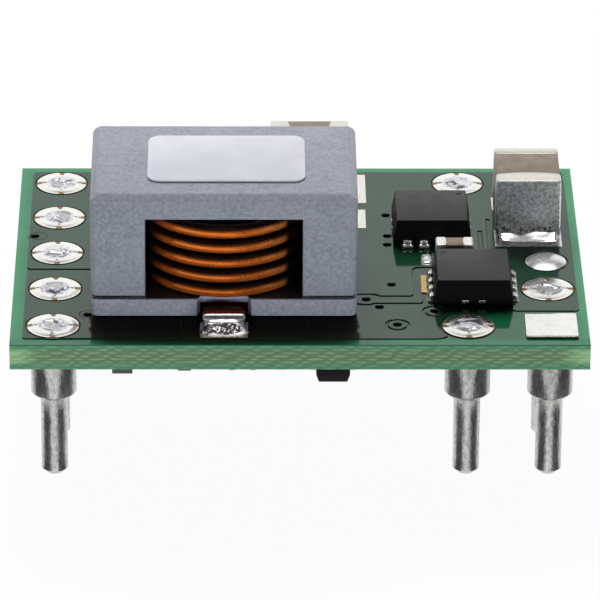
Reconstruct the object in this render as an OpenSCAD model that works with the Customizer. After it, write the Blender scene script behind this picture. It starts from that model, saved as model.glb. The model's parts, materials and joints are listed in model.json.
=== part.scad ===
// Point-of-load dc-dc converter on a small board that stands on shouldered pins.
// Millimetres. +X right, +Y back, +Z up. The origin is under the board's centre, at the pin tips.

/* [Pins] */
// Distance between neighbouring pins
pin_pitch = 3.175; // [3:0.025:3.5]
// Pin diameter
pin_d = 1.02; // [0.8:0.02:1.1]
// Pin length below its shoulder
pin_length = 3.43; // [2.5:0.01:5]
// Length of the end chamfer
pin_chamfer = 0.2; // [0.1:0.02:0.3]
// Shoulder diameter
shoulder_d = 1.75; // [1.5:0.05:1.9]
// Shoulder height, which holds the board off its host
shoulder_h = 1.72; // [1:0.02:3]
// Pin end above the board
pin_stand = 0.08; // [0.06:0.02:0.2]
// Solder wall between a pin and its hole
sleeve_wall = 0.06; // [0.04:0.01:0.1]

/* [Board] */
// Board thickness
board_t = 1.05; // [0.8:0.05:1.6]
// Left pin column to the left edge
edge_left = 1.62; // [1.4:0.02:2.5]
// Right pin column to the right edge
edge_right = 1.43; // [1.3:0.02:2.5]
// End pin rows to the front and back edges
edge_end = 1.525; // [1.3:0.025:2.5]
// Round pin land diameter
land_d = 2; // [1.8:0.1:2.2]
// Land thickness
land_t = 0.05; // [0.03:0.01:0.08]
// Via hole diameter
via_d = 0.32; // [0.2:0.02:0.4]
// Diameter of the spare land beside the right column
spare_land_d = 1.6; // [1.2:0.1:1.8]
// Spare land's distance behind the pin in front of it
spare_step = 2.42; // [2.2:0.02:2.7]
// How far the spare land lies outside the right column
spare_out = 0.04; // [0:0.01:0.1]
// Height of a solder joint over a pin
joint_h = 0.1; // [0.08:0.01:0.16]
// Depth of the four bare notches in a pin joint
joint_notch = 0.3; // [0.2:0.02:0.36]

/* [Inductor] */
// Core width
core_w = 10.2; // [9:0.1:11]
// Core depth
core_d = 6.65; // [6.2:0.05:7.2]
// Core top above the board
core_top = 5.15; // [4.6:0.05:6.5]
// Yoke thickness over the window
yoke_t = 0.98; // [0.8:0.02:1.4]
// Front window width
window_w = 6.03; // [5.4:0.05:6.6]
// Radius of the upright corners
core_corner_r = 0.3; // [0.2:0.05:0.5]
// Top edge chamfer
core_chamfer = 0.26; // [0.15:0.01:0.4]
// Base plate thickness
plate_t = 0.69; // [0.65:0.01:1]
// Base plate's height off the board
plate_lift = 0.1; // [0.08:0.01:0.2]
// Thickness of the shims between the core and the plate
shim_t = 0.15; // [0.05:0.01:0.2]
// Width of the lead notch
notch_w = 2.1; // [1.9:0.05:2.6]
// Depth of the lead notch
notch_d = 0.35; // [0.2:0.05:0.6]
// Gap from the left pin lands to the core
core_gap = 0.43; // [0.2:0.01:0.8]
// Front board edge to the core
core_front = 2.275; // [2.1:0.025:2.6]
// Label width
label_w = 6.05; // [4:0.05:8]
// Label depth
label_d = 4.1; // [3:0.05:5]
// Label thickness
label_t = 0.08; // [0.05:0.01:0.15]

/* [Winding] */
// Wire diameter
wire_d = 0.55; // [0.4:0.01:0.58]
// Height from one turn to the next
turn_pitch = 0.62; // [0.6:0.01:0.8]
// Flattened lead width
lead_w = 1.62; // [1.2:0.02:1.7]
// Flattened lead thickness
lead_t = 0.24; // [0.16:0.02:0.3]

/* [Power packages] */
// Moulded body width at its base
body_w = 3.05; // [2.8:0.05:3.2]
// Moulded body width at its top
body_top_w = 2.78; // [2.5:0.02:2.9]
// Package top above its lands
package_h = 1; // [0.8:0.05:1.2]
// Lead pitch
lead_pitch = 0.65; // [0.6:0.01:0.7]
// Lead width
lead_tab_w = 0.32; // [0.24:0.02:0.4]
// Lead length outside the body
lead_tab_l = 0.125; // [0.08:0.01:0.2]
// Lead thickness
lead_tab_t = 0.22; // [0.15:0.01:0.3]

/* [Capacitors] */
// Large chip length
large_chip_l = 3.1; // [2.9:0.05:3.4]
// Large chip width
large_chip_w = 2.55; // [2.2:0.05:2.7]
// Large chip height
large_chip_h = 2.45; // [1.8:0.05:2.8]
// Second output chip width
second_chip_w = 1.6; // [1.3:0.05:1.7]
// Second output chip height
second_chip_h = 1.6; // [1:0.05:2]
// Small chip length
small_chip_l = 1.48; // [1.4:0.01:1.7]
// Small chip width and height
small_chip_w = 0.78; // [0.7:0.02:0.85]
// Part of a chip's length that one end cap wraps
band_share = 0.21; // [0.15:0.01:0.28]

/* [Underside] */
// Controller package width
controller_w = 4; // [3:0.1:5]
// Controller package height
controller_h = 0.85; // [0.7:0.05:1]
// Small package body width
trio_w = 1.3; // [1.1:0.05:1.6]
// Small package body length
trio_l = 2.9; // [2.5:0.05:3.1]
// Small package height
trio_h = 1; // [0.8:0.05:1.1]
// Tiny chip length
tiny_chip_l = 1; // [0.9:0.05:1.1]

/* [Hidden] */
$fn = 48;

touch = 0.01;

board_w = edge_left + 6 * pin_pitch + edge_right;
board_d = 4 * pin_pitch + 2 * edge_end;
board_bottom = pin_length + shoulder_h;
board_top = board_bottom + board_t;
seat = board_top + land_t;

left_x = edge_left - board_w / 2;
right_x = board_w / 2 - edge_right;
inner_x = right_x - pin_pitch;
row_y = 2 * pin_pitch;
land_r = land_d / 2;
hole_d = pin_d + 2 * sleeve_wall;

// Pins run down the left column, then the inner pair, then the right column. The last one has a square land.
pins = [
  [left_x, row_y], [left_x, row_y / 2], [left_x, 0], [left_x, -row_y / 2], [left_x, -row_y],
  [inner_x, row_y], [inner_x, -row_y],
  [right_x, row_y], [right_x, -row_y / 2], [right_x, -row_y]
];
spare_x = right_x + spare_out;
spare_y = spare_step - row_y / 2;

core_x = left_x + land_r + core_gap + core_w / 2;
core_y = core_front + core_d / 2 - board_d / 2;
plate_bottom = board_top + plate_lift;
plate_top = plate_bottom + plate_t;
leg_bottom = plate_top + shim_t;
core_z = board_top + core_top;
window_top = core_z - yoke_t;

coil_clear = 0.05;
coil_r = core_d / 2 - wire_d / 2 + coil_clear;
relief_r = coil_r + wire_d / 2 + coil_clear;
post_r = coil_r - wire_d / 2 - 2 * coil_clear;
coil_low = plate_top + coil_clear / 2 + wire_d / 2;
turns = 1 + floor((window_top - 2 * coil_clear - wire_d / 2 - coil_low) / turn_pitch);
coil_high = coil_low + (turns - 1) * turn_pitch;

groove_top = plate_top - 0.19;
groove_z = groove_top - coil_clear / 2 - wire_d / 2;
foot_z = seat + lead_t / 2;
foot_reach = 0.85;
rear_reach = 1.85;
rear_lead_x = -0.9;
start_angle = 50;
drop_angle = start_angle + 7;
end_angle = 130;
drop_x = coil_r * cos(drop_angle);
drop_y = coil_r * sin(drop_angle);

solder_l = 0.8;
solder_h = 0.5;

span = body_w + 2 * lead_tab_l;
fillet_l = 0.08;
lead_land_end = span / 2 + fillet_l + 0.02;
front_x = right_x - land_r - 0.26 - span / 2;
front_y = land_r - row_y + 0.65 + span / 2;
bypass_x = front_x - 0.61;
bypass_y = front_y + span / 2 + 0.52 + small_chip_w / 2;
rear_x = front_x - 1.44;
rear_y = bypass_y + small_chip_w / 2 + 0.71 + span / 2;

input_x = right_x - 0.56;
input_y = (spare_y + spare_land_d / 2 + row_y - land_r) / 2 + 0.26;
output_x = core_x + core_w / 2 - 0.15 - large_chip_l / 2;
output_y = board_d / 2 - 0.745 - large_chip_w / 2;
second_y = output_y - large_chip_w / 2 - 0.7 - second_chip_w / 2;
second_l = large_chip_l;
large_toe = 0.55;
front_toe = 0.82;
small_toe = 0.12;

// Thickness of a chip's end cap, as a part of the chip's width
cap_share = 0.03;

controller_x = core_x + 0.9;
controller_y = 0.4;
trio_x = left_x + 3.373 * pin_pitch;
trio_y = trio_l / 2 + 0.89 - board_d / 2;
tiny_chip_w = tiny_chip_l / 2;
// Chips are [columns from the left pins, rows from the centre, quarter turns].
underside_capacitors = [[0.83, -1.85, 1], [1.25, -0.6, 0], [1.25, 0.45, 0], [4.55, 0.9, 1], [4.95, 0.9, 1]];
underside_resistors = [
  [1.58, -2.08, 1], [2.28, -2.14, 0], [2.756, -2.05, 1], [2.1, 1.4, 0], [2.6, 1.4, 0], [3.1, 1.4, 0], [4.55, -0.8, 1]
];

// Vias in the open strip are [columns from the core's right side, rows from the centre].
strip_x = core_x + core_w / 2;
strip_vias = [
  [0.41, 1.077], [0.419, 0.482], [0.413, 0.236], [0.438, -0.876],
  [0.12, -1.282], [0.277, -1.49], [0.482, -1.962], [0.942, -1.597]
];
vias = concat(
  [for (v = strip_vias) [strip_x + v.x * pin_pitch, v.y * pin_pitch]],
  [[left_x - 0.29 * pin_pitch, 0.472 * pin_pitch], [core_x - core_w / 2 - 0.12, -1.7 * pin_pitch]],
  [for (u = [-0.82, -0.5], v = [1.76, 1.45]) [core_x + u * pin_pitch, v * pin_pitch]]
);

module rounded_block(w, d, h, r) {
  translate([-w / 2, r - d / 2, 0]) cube([w, d - 2 * r, h]);
  translate([r - w / 2, -d / 2, 0]) cube([w - 2 * r, d, h]);
  for (sx = [-1, 1], sy = [-1, 1])
    translate([sx * (w / 2 - r), sy * (d / 2 - r), 0]) cylinder(r = r, h = h);
}

module slab(w, d, h) {
  translate([-w / 2, -d / 2, 0]) cube([w, d, h]);
}

// A block whose walls lean in from w, d at the base to top_w, top_d.
module leaning_block(w, d, top_w, top_d, h) {
  polyhedron(
    points = [
      [-w / 2, -d / 2, 0], [w / 2, -d / 2, 0], [w / 2, d / 2, 0], [-w / 2, d / 2, 0],
      [-top_w / 2, -top_d / 2, h], [top_w / 2, -top_d / 2, h], [top_w / 2, top_d / 2, h], [-top_w / 2, top_d / 2, h]
    ],
    faces = [[0, 1, 2, 3], [7, 6, 5, 4], [0, 4, 5, 1], [1, 5, 6, 2], [2, 6, 7, 3], [3, 7, 4, 0]]
  );
}

// Draws its children on the underside, where +Z of the child points down.
module underneath() {
  translate([0, 0, board_bottom]) mirror([0, 0, 1]) children();
}

module circuit_board() {
  color([0.2, 0.5, 0.35]) difference() {
    translate([0, 0, board_bottom]) slab(board_w, board_d, board_t);
    for (p = pins)
      translate([p.x, p.y, board_bottom - 1]) cylinder(d = hole_d, h = board_t + 2);
    for (v = vias)
      translate([v.x, v.y, board_bottom - 1]) cylinder(d = via_d, h = board_t + 2, $fn = 24);
  }
}

module terminal_pin(i) {
  r = pin_d / 2;
  s = shoulder_d / 2;
  b = pin_chamfer / 2;
  color([0.75, 0.75, 0.74]) translate([pins[i - 1].x, pins[i - 1].y, 0]) rotate_extrude()
    polygon([
      [0, 0], [r - pin_chamfer, 0], [r, pin_chamfer], [r, pin_length],
      [s - b, pin_length], [s, pin_length + b], [s, board_bottom - land_t],
      [r, board_bottom - land_t], [r, board_top + pin_stand - b], [r - b, board_top + pin_stand],
      [0, board_top + pin_stand]
    ]);
}

module land_ring(round_land) {
  difference() {
    if (round_land) cylinder(d = land_d, h = land_t);
    else slab(land_d, land_d, land_t);
    translate([0, 0, -1]) cylinder(d = hole_d, h = land_t + 2);
  }
}

module pin_lands() {
  color([0.85, 0.8, 0.6]) for (i = [0 : len(pins) - 1]) {
    translate([pins[i].x, pins[i].y, board_top]) land_ring(i < len(pins) - 1);
    translate([pins[i].x, pins[i].y, board_bottom - land_t]) land_ring(true);
  }
}

// A solder joint fills the hole and covers the pin's end. Four notches leave its land bare.
module pin_solder() {
  outer = land_r - 0.025;
  flat = hole_d / 2 + 0.05;
  notch_half = joint_notch * 0.42;
  color([0.85, 0.85, 0.86]) for (i = [0 : len(pins) - 1]) difference() {
    translate([pins[i].x, pins[i].y, 0]) {
      translate([0, 0, board_bottom - land_t]) cylinder(d = hole_d, h = board_t + 2 * land_t + touch);
      if (i < len(pins) - 1) translate([0, 0, seat]) difference() {
        rotate_extrude() polygon([[0, 0], [outer, 0], [outer - 0.08, joint_h * 0.65], [flat, joint_h], [0, joint_h]]);
        for (q = [0 : 3]) rotate(90 * q) translate([0, 0, -1]) linear_extrude(2)
          polygon([[outer - joint_notch, 0], [outer + 0.05, -notch_half], [outer + 0.05, notch_half]]);
      }
    }
    terminal_pin(i + 1);
  }
}

module spare_land() {
  color([0.85, 0.8, 0.6]) translate([spare_x, spare_y, board_top]) cylinder(d = spare_land_d, h = land_t);
}

module spare_land_solder() {
  r = spare_land_d / 2;
  rise = 0.22;
  ball = (r * r + rise * rise) / (2 * rise);
  color([0.88, 0.88, 0.9]) intersection() {
    translate([spare_x, spare_y, seat + rise - ball]) sphere(r = ball, $fn = 96);
    translate([spare_x, spare_y, seat]) cylinder(r = r, h = 1);
  }
}

// The first end's land may be longer than the other's.
module chip_lands(l, w, toe, first_toe = 0) {
  inner = l / 2 - l * band_share;
  for (s = [-1, 1]) let (reach = l / 2 + (s < 0 ? max(toe, first_toe) : toe))
    translate([s * (inner + reach) / 2, 0, 0]) slab(reach - inner, w + 0.08, land_t);
}

module package_lands() {
  inner = body_w / 2 - 0.2;
  for (s = [-1, 1], k = [-1.5 : 1.5])
    translate([s * (inner + lead_land_end) / 2, k * lead_pitch, 0])
      slab(lead_land_end - inner, lead_tab_w + 0.08, land_t);
  slab(body_w - 1.2, body_w - 0.4, land_t);
}

module top_lands() {
  color([0.85, 0.85, 0.85]) translate([0, 0, board_top]) {
    translate([front_x, front_y, 0]) package_lands();
    translate([rear_x, rear_y, 0]) rotate(90) package_lands();
    translate([input_x, input_y, 0]) rotate(90) chip_lands(large_chip_l, large_chip_w, large_toe, front_toe);
    translate([output_x, output_y, 0]) chip_lands(large_chip_l, large_chip_w, large_toe + 0.15);
    translate([output_x, second_y, 0]) chip_lands(second_l, second_chip_w, large_toe + 0.1);
    translate([bypass_x, bypass_y, 0]) chip_lands(small_chip_l, small_chip_w, small_toe);
    translate([core_x, core_y - core_d / 2 - foot_reach - solder_l / 2 + 0.15, 0]) slab(lead_w + 0.2, 1.3, land_t);
    translate([core_x + rear_lead_x, core_y + core_d / 2 + rear_reach + solder_l / 2 - 0.15, 0])
      slab(lead_w + 0.2, 1.3, land_t);
    translate([front_x - span / 2 - 0.05, bypass_y - 0.13, 0]) slab(0.42, 0.9, land_t);
  }
}

// Bare gold strip left of the front package's leads.
module bare_land() {
  color([0.85, 0.68, 0.3])
    translate([front_x - lead_land_end - 0.12, front_y + lead_pitch / 2, board_top]) slab(0.2, 2.28 * lead_pitch, land_t);
}

module core_outline(z, h) {
  translate([core_x, core_y, z]) rounded_block(core_w, core_d, h, core_corner_r);
}

module inductor_core() {
  cut = core_chamfer * sqrt(2);
  color([0.55, 0.56, 0.6]) {
    difference() {
      core_outline(leg_bottom, core_z - leg_bottom);
      translate([core_x, core_y, leg_bottom - 1]) slab(window_w, core_d + 2, window_top - leg_bottom + 1);
      translate([core_x, core_y, leg_bottom - 1]) cylinder(r = relief_r, h = window_top - leg_bottom + 1, $fn = 96);
      for (s = [-1, 1]) {
        translate([core_x, core_y + s * core_d / 2, core_z]) rotate([45, 0, 0]) cube([core_w + 2, cut, cut], center = true);
        translate([core_x + s * core_w / 2, core_y, core_z]) rotate([0, 45, 0]) cube([cut, core_d + 2, cut], center = true);
      }
    }
    translate([core_x, core_y, leg_bottom + 0.2]) cylinder(r = post_r, h = window_top - leg_bottom - 0.2 + touch, $fn = 96);
  }
}

module notch() {
  flare = 0.14;
  linear_extrude(plate_t + 2) polygon([
    [-notch_w / 2, -1], [-notch_w / 2, 0], [flare - notch_w / 2, notch_d],
    [notch_w / 2 - flare, notch_d], [notch_w / 2, 0], [notch_w / 2, -1]
  ]);
}

module inductor_base() {
  wire_gap = wire_d + 4 * coil_clear;
  groove_w = lead_w + 4 * coil_clear;
  groove_h = groove_top - plate_bottom;
  turn_y = lead_turn_y();
  color([0.5, 0.51, 0.55]) difference() {
    core_outline(plate_bottom, plate_t);
    translate([core_x, core_y - core_d / 2, plate_bottom - 1]) notch();
    translate([core_x - groove_w / 2, core_y - core_d / 2 - 1, plate_bottom - 1])
      cube([groove_w, core_d / 2 + turn_y + 1.1, groove_h - 0.08 + 1]);
    translate([core_x - groove_w / 2, core_y + turn_y, plate_bottom - 1])
      cube([groove_w / 2 + drop_x + wire_gap / 2, drop_y - turn_y + wire_gap / 2, groove_h + 1]);
    translate([core_x + drop_x, core_y + drop_y, plate_bottom - 1]) cylinder(d = wire_gap, h = plate_t + 2);
  }
}

module inductor_shims() {
  leg = (core_w - window_w) / 2;
  color([0.1, 0.09, 0.08]) for (s = [-1, 1])
    translate([core_x + s * (core_w / 2 - leg * 0.42), core_y, plate_top]) slab(leg * 0.7, core_d - 0.5, shim_t);
}

module inductor_bond() {
  color([0.12, 0.11, 0.1]) for (s = [-1, 1])
    translate([core_x + s * core_w * 0.37, core_y, board_top]) slab(core_w * 0.16, core_d * 0.6, plate_lift);
}

function unit(v) = v / norm(v);
function side(t) = unit([t.y, -t.x, 0]);
function mix(a, b, t) = a * (1 - t) + b * t;
function ease(t) = t <= 0 ? 0 : t >= 1 ? 1 : t * t * (3 - 2 * t);
function bend(p, q, r, t) = p * (1 - t) * (1 - t) + q * 2 * t * (1 - t) + r * t * t;
function lead_turn_y() = -core_d * 0.36;

// A station is [centre, direction across the wire, half width, half thickness, ring start angle].
function ring(s, t, sides) = let (v = cross(t, s[1]))
  [for (j = [0 : sides - 1]) let (a = 360 * j / sides + s[4]) s[0] + s[2] * cos(a) * s[1] + s[3] * sin(a) * v];

module swept_wire(stations, sides) {
  n = len(stations);
  last = n - 1;
  points = [for (i = [0 : last])
    each ring(stations[i], unit(stations[min(i + 1, last)][0] - stations[max(i - 1, 0)][0]), sides)];
  walls = [for (i = [0 : n - 2], j = [0 : sides - 1]) let (a = i * sides + j, b = i * sides + (j + 1) % sides)
    each [[a, b + sides, b], [a, a + sides, b + sides]]];
  start = [for (j = [0 : sides - 1]) j];
  end = [for (j = [sides - 1 : -1 : 0]) last * sides + j];
  polyhedron(points = points, faces = concat(walls, [start, end]), convexity = 8);
}

// Front lead: flat foot, up into the plate's groove, back to the drop and up to the first turn.
function front_lead() = let (
    r = wire_d / 2,
    front = -core_d / 2,
    turn_y = lead_turn_y(),
    drop = [drop_x, drop_y, 0],
    along = unit([drop_x, drop_y - turn_y, 0]),
    across = side(along),
    helix_start = [coil_r * cos(start_angle), coil_r * sin(start_angle), coil_low],
    helix_across = -[cos(start_angle), sin(start_angle), 0],
    twist = atan2(across.y, across.x) - atan2(helix_across.y, helix_across.x),
    low = drop + [0, 0, groove_z],
    knee = 0.3)
  concat(
    [for (k = [0 : 6]) let (t = k / 6)
      [[0, mix(front - foot_reach, turn_y - 0.3, t), mix(foot_z, groove_z, ease((t - 0.2) * 2))],
       [1, 0, 0], lead_w / 2, mix(lead_t / 2, r * 0.6, ease(t - 0.3)), 0]],
    [for (k = [1 : 5]) let (t = k / 6)
      [[0, turn_y, groove_z] + along * t * (norm([drop_x, drop_y - turn_y]) - knee),
       unit(mix([1, 0, 0], across, ease(t * 2))), mix(lead_w / 2, r, ease(t * 1.2)), mix(r * 0.6, r, ease(t * 1.2)), 0]],
    [for (k = [0 : 4]) [bend(low - along * knee, low, low + [0, 0, knee], k / 4), across, r, r, 0]],
    [for (k = [1 : 5]) [bend([drop.x, drop.y, coil_low - 0.33], [drop.x, drop.y, coil_low], helix_start, k / 6),
      helix_across, r, r, twist]]
  );

// Each turn lies flat and steps up to the next one at the back of the core.
function turn_stations() = let (r = wire_d / 2, step = 10, steps = (360 * turns - end_angle + start_angle) / step, twist = front_twist())
  [for (k = [0 : steps]) let (
      a = start_angle - step * k,
      lap = floor((start_angle - 60 - a + 360) / 360),
      into = 120 - (a + 360 * lap),
      z = coil_low + turn_pitch * (lap - 1 + ease((into + 0) / 60)))
    [[coil_r * cos(a), coil_r * sin(a), max(coil_low, z)], -[cos(a), sin(a), 0], r, r, twist]];

function front_twist() = let (
    along = unit([drop_x, drop_y - lead_turn_y(), 0]),
    across = side(along),
    helix_across = -[cos(start_angle), sin(start_angle), 0])
  atan2(across.y, across.x) - atan2(helix_across.y, helix_across.x);

// Rear lead: leaves the last turn, goes back and down, and ends in a flat foot.
function rear_lead() = let (
    r = wire_d / 2,
    start = [coil_r * cos(end_angle), coil_r * sin(end_angle), coil_high],
    leave = [sin(end_angle), -cos(end_angle), 0],
    corner = start + leave * (rear_lead_x - start.x) / leave.x,
    back = core_d / 2 + 1.1,
    out = [rear_lead_x, back - 0.35, coil_high],
    top = [rear_lead_x, back, coil_high],
    foot = [rear_lead_x, back, foot_z],
    twist = front_twist())
  concat(
    [for (k = [1 : 6]) let (p = bend(start, corner, out, k / 6), q = bend(start, corner, out, k / 6 - 0.05))
      [p, side(p - q), r, r, twist]],
    [for (k = [1 : 4]) [bend(out, top, top - [0, 0, 0.35], k / 4), [1, 0, 0], r, r, twist]],
    [for (k = [1 : 4]) [mix(top - [0, 0, 0.35], foot + [0, 0, 0.4], k / 5), [1, 0, 0], r, r, twist]],
    [for (k = [0 : 4]) [bend(foot + [0, 0, 0.4], foot, foot + [0, 0.4, 0], k / 4), [1, 0, 0],
      r, mix(r, lead_t / 2, ease(k / 4)), twist]],
    [[[rear_lead_x, core_d / 2 + rear_reach, foot_z], [1, 0, 0], r, lead_t / 2, twist]]
  );

module inductor_winding() {
  color([0.72, 0.4, 0.2]) translate([core_x, core_y, 0])
    swept_wire(concat(front_lead(), turn_stations(), rear_lead()), 8);
}

// A soldered lead end: a pillow that falls to the land at the front and both sides.
module lead_solder() {
  w = lead_w / 2 + 0.05;
  intersection() {
    translate([-w - 0.1, 0, 0]) rotate([90, 0, 90]) linear_extrude(2 * w + 0.2)
      polygon([[0, 0], [0, solder_h * 0.9], [-0.15, solder_h], [-0.35, solder_h * 0.94], [-0.58, solder_h * 0.65], [-solder_l, 0]]);
    translate([0, touch, 0]) rotate([90, 0, 0]) linear_extrude(solder_l + 2 * touch)
      polygon([[-w, 0], [w, 0], [w - 0.08, solder_h * 0.5], [w - 0.25, solder_h * 0.9], [w - 0.45, solder_h],
        [0.45 - w, solder_h], [0.25 - w, solder_h * 0.9], [0.08 - w, solder_h * 0.5]]);
  }
}

module inductor_solder() {
  color([0.85, 0.86, 0.88]) {
    translate([core_x, core_y - core_d / 2 - foot_reach, seat]) lead_solder();
    translate([core_x + rear_lead_x, core_y + core_d / 2 + rear_reach, seat]) rotate(180) lead_solder();
  }
}

module inductor_label() {
  color([0.93, 0.93, 0.95]) translate([core_x + 0.09, core_y - 0.02, core_z]) rounded_block(label_w, label_d, label_t, 0.5);
}

// Power package with leads on both X sides. The skirt is upright as high as the leads, then the walls lean in.
module package_body() {
  skirt = lead_tab_t + 0.06;
  slab(body_w, body_w, skirt);
  translate([0, 0, skirt]) leaning_block(body_w, body_w, body_top_w, body_top_w, package_h - skirt);
}

module package_leads() {
  for (s = [-1, 1], k = [-1.5 : 1.5])
    translate([s * (body_w + lead_tab_l) / 2, k * lead_pitch, 0]) slab(lead_tab_l, lead_tab_w, lead_tab_t);
  for (s = [-1, 1], k = [-0.5, 0.5])
    translate([k * lead_pitch, s * (body_w / 2 + 0.02), 0.08]) slab(0.28, 0.04, 0.12);
}

module fillet(w, l, h) {
  translate([0, w / 2, 0]) rotate([90, 0, 0]) linear_extrude(w)
    polygon([[0, 0], [l, 0], [l * 0.62, h * 0.14], [l * 0.32, h * 0.4], [l * 0.12, h * 0.72], [0, h]]);
}

module package_solder() {
  for (s = [0, 180], k = [-1.5 : 1.5])
    rotate(s) translate([span / 2, k * lead_pitch, 0]) fillet(lead_tab_w, fillet_l, lead_tab_t);
}

module front_mosfet_body() {
  color([0.2, 0.2, 0.21]) translate([front_x, front_y, seat]) package_body();
}

module front_mosfet_leads() {
  color([0.75, 0.74, 0.7]) translate([front_x, front_y, seat]) package_leads();
}

module front_mosfet_solder() {
  color([0.85, 0.85, 0.86]) translate([front_x, front_y, seat]) package_solder();
}

module rear_mosfet_body() {
  color([0.2, 0.2, 0.21]) translate([rear_x, rear_y, seat]) rotate(90) package_body();
}

module rear_mosfet_leads() {
  color([0.75, 0.74, 0.7]) translate([rear_x, rear_y, seat]) rotate(90) package_leads();
}

module rear_mosfet_solder() {
  color([0.85, 0.85, 0.86]) translate([rear_x, rear_y, seat]) rotate(90) package_solder();
}

// Chip along X: a ceramic body in two metal end caps.
module chip_body(l, w, h) {
  wall = w * cap_share;
  translate([0, 0, wall]) slab(l - 2 * wall, w - 2 * wall, h - 2 * wall);
}

module chip_ends(l, w, h) {
  band = l * band_share;
  difference() {
    for (s = [-1, 1])
      translate([s * (l - band) / 2, 0, 0]) slab(band, w, h);
    chip_body(l, w, h);
  }
}

module chip_solder(l, w, h, toe) {
  for (s = [0, 180])
    rotate(s) translate([l / 2, 0, 0]) fillet(w, toe, h);
}

module input_capacitor_body() {
  color([0.6, 0.5, 0.4]) translate([input_x, input_y, seat]) rotate(90) chip_body(large_chip_l, large_chip_w, large_chip_h);
}

module input_capacitor_ends() {
  color([0.8, 0.8, 0.8]) translate([input_x, input_y, seat]) rotate(90) chip_ends(large_chip_l, large_chip_w, large_chip_h);
}

module input_capacitor_solder() {
  color([0.85, 0.85, 0.86]) translate([input_x, input_y, seat]) rotate(90)
    chip_solder(large_chip_l, large_chip_w, large_chip_h * 0.7, large_toe);
}

module output_capacitor_body() {
  color([0.6, 0.5, 0.4]) translate([output_x, output_y, seat]) chip_body(large_chip_l, large_chip_w, large_chip_h);
}

module output_capacitor_ends() {
  color([0.8, 0.8, 0.8]) translate([output_x, output_y, seat]) chip_ends(large_chip_l, large_chip_w, large_chip_h);
}

module output_capacitor_solder() {
  color([0.85, 0.85, 0.86]) translate([output_x, output_y, seat])
    chip_solder(large_chip_l, large_chip_w, large_chip_h * 0.6, large_toe);
}

module second_capacitor_body() {
  color([0.6, 0.5, 0.4]) translate([output_x, second_y, seat]) chip_body(second_l, second_chip_w, second_chip_h);
}

module second_capacitor_ends() {
  color([0.8, 0.8, 0.8]) translate([output_x, second_y, seat]) chip_ends(second_l, second_chip_w, second_chip_h);
}

module second_capacitor_solder() {
  color([0.85, 0.85, 0.86]) translate([output_x, second_y, seat])
    chip_solder(second_l, second_chip_w, second_chip_h * 0.6, large_toe);
}

module bypass_capacitor_body() {
  color([0.6, 0.5, 0.4]) translate([bypass_x, bypass_y, seat]) chip_body(small_chip_l, small_chip_w, small_chip_w);
}

module bypass_capacitor_ends() {
  color([0.85, 0.85, 0.83]) translate([bypass_x, bypass_y, seat]) chip_ends(small_chip_l, small_chip_w, small_chip_w);
}

module bypass_capacitor_solder() {
  color([0.85, 0.85, 0.86]) translate([bypass_x, bypass_y, seat])
    chip_solder(small_chip_l, small_chip_w, small_chip_w * 0.5, small_toe);
}

module at_chip(c) {
  translate([left_x + c[0] * pin_pitch, c[1] * pin_pitch, land_t]) rotate(90 * c[2]) children();
}

module trio_lead() {
  translate([0, trio_h * 0.2, 0]) rotate([90, 0, 0]) linear_extrude(trio_h * 0.4)
    polygon(trio_h * [[0, 0.42], [0, 0.58], [0.22, 0.58], [0.36, 0.14], [0.6, 0.14], [0.6, 0], [0.25, 0], [0.12, 0.42]]);
}

module at_trio_leads() {
  for (s = [0, 180], k = [-1, 1])
    rotate(s) translate([trio_w / 2, k * trio_l * 0.33, 0]) children();
}

module underside_lands() {
  color([0.85, 0.85, 0.85]) underneath() {
    for (c = underside_capacitors)
      at_chip(c) translate([0, 0, -land_t]) chip_lands(small_chip_l, small_chip_w, small_toe);
    for (c = underside_resistors)
      at_chip(c) translate([0, 0, -land_t]) chip_lands(tiny_chip_l, tiny_chip_w, small_toe);
    translate([trio_x, trio_y, 0]) at_trio_leads() translate([trio_h * 0.45, 0, 0]) slab(trio_h / 2, trio_h / 2, land_t);
    translate([controller_x, controller_y, 0]) slab(controller_w * 0.62, controller_w * 0.62, land_t);
    translate([controller_x, controller_y, 0]) at_controller_pads() slab(controller_w / 8, controller_w * 0.07, land_t);
  }
}

module at_controller_pads() {
  for (s = [0 : 3], k = [-2 : 2])
    rotate(90 * s) translate([controller_w * 0.475, k * controller_w * 0.16, 0]) children();
}

module controller_body() {
  color([0.15, 0.15, 0.16]) underneath() translate([controller_x, controller_y, land_t + 0.04])
    slab(controller_w, controller_w, controller_h);
}

module controller_pads() {
  color([0.8, 0.8, 0.8]) underneath() translate([controller_x, controller_y, land_t]) {
    slab(controller_w * 0.62, controller_w * 0.62, 0.04);
    at_controller_pads() translate([-controller_w * 0.02, 0, 0]) slab(controller_w * 0.085, controller_w * 0.06, 0.04);
  }
}

module trio_package_body() {
  waist = trio_h * 0.6;
  color([0.13, 0.13, 0.14]) underneath() translate([trio_x, trio_y, land_t + 0.05]) {
    slab(trio_w, trio_l, waist);
    translate([0, 0, waist]) leaning_block(trio_w, trio_l, trio_w - 0.2, trio_l - 0.2, trio_h - waist - 0.05);
  }
}

module trio_package_leads() {
  color([0.8, 0.8, 0.8]) underneath() translate([trio_x, trio_y, land_t]) at_trio_leads() trio_lead();
}

module underside_capacitor_bodies() {
  color([0.6, 0.5, 0.4]) underneath() for (c = underside_capacitors)
    at_chip(c) chip_body(small_chip_l, small_chip_w, small_chip_w);
}

module underside_capacitor_ends() {
  color([0.85, 0.85, 0.83]) underneath() for (c = underside_capacitors)
    at_chip(c) chip_ends(small_chip_l, small_chip_w, small_chip_w);
}

module underside_resistor_bodies() {
  color([0.12, 0.12, 0.13]) underneath() for (c = underside_resistors)
    at_chip(c) chip_body(tiny_chip_l, tiny_chip_w, tiny_chip_w * 0.8);
}

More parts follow.
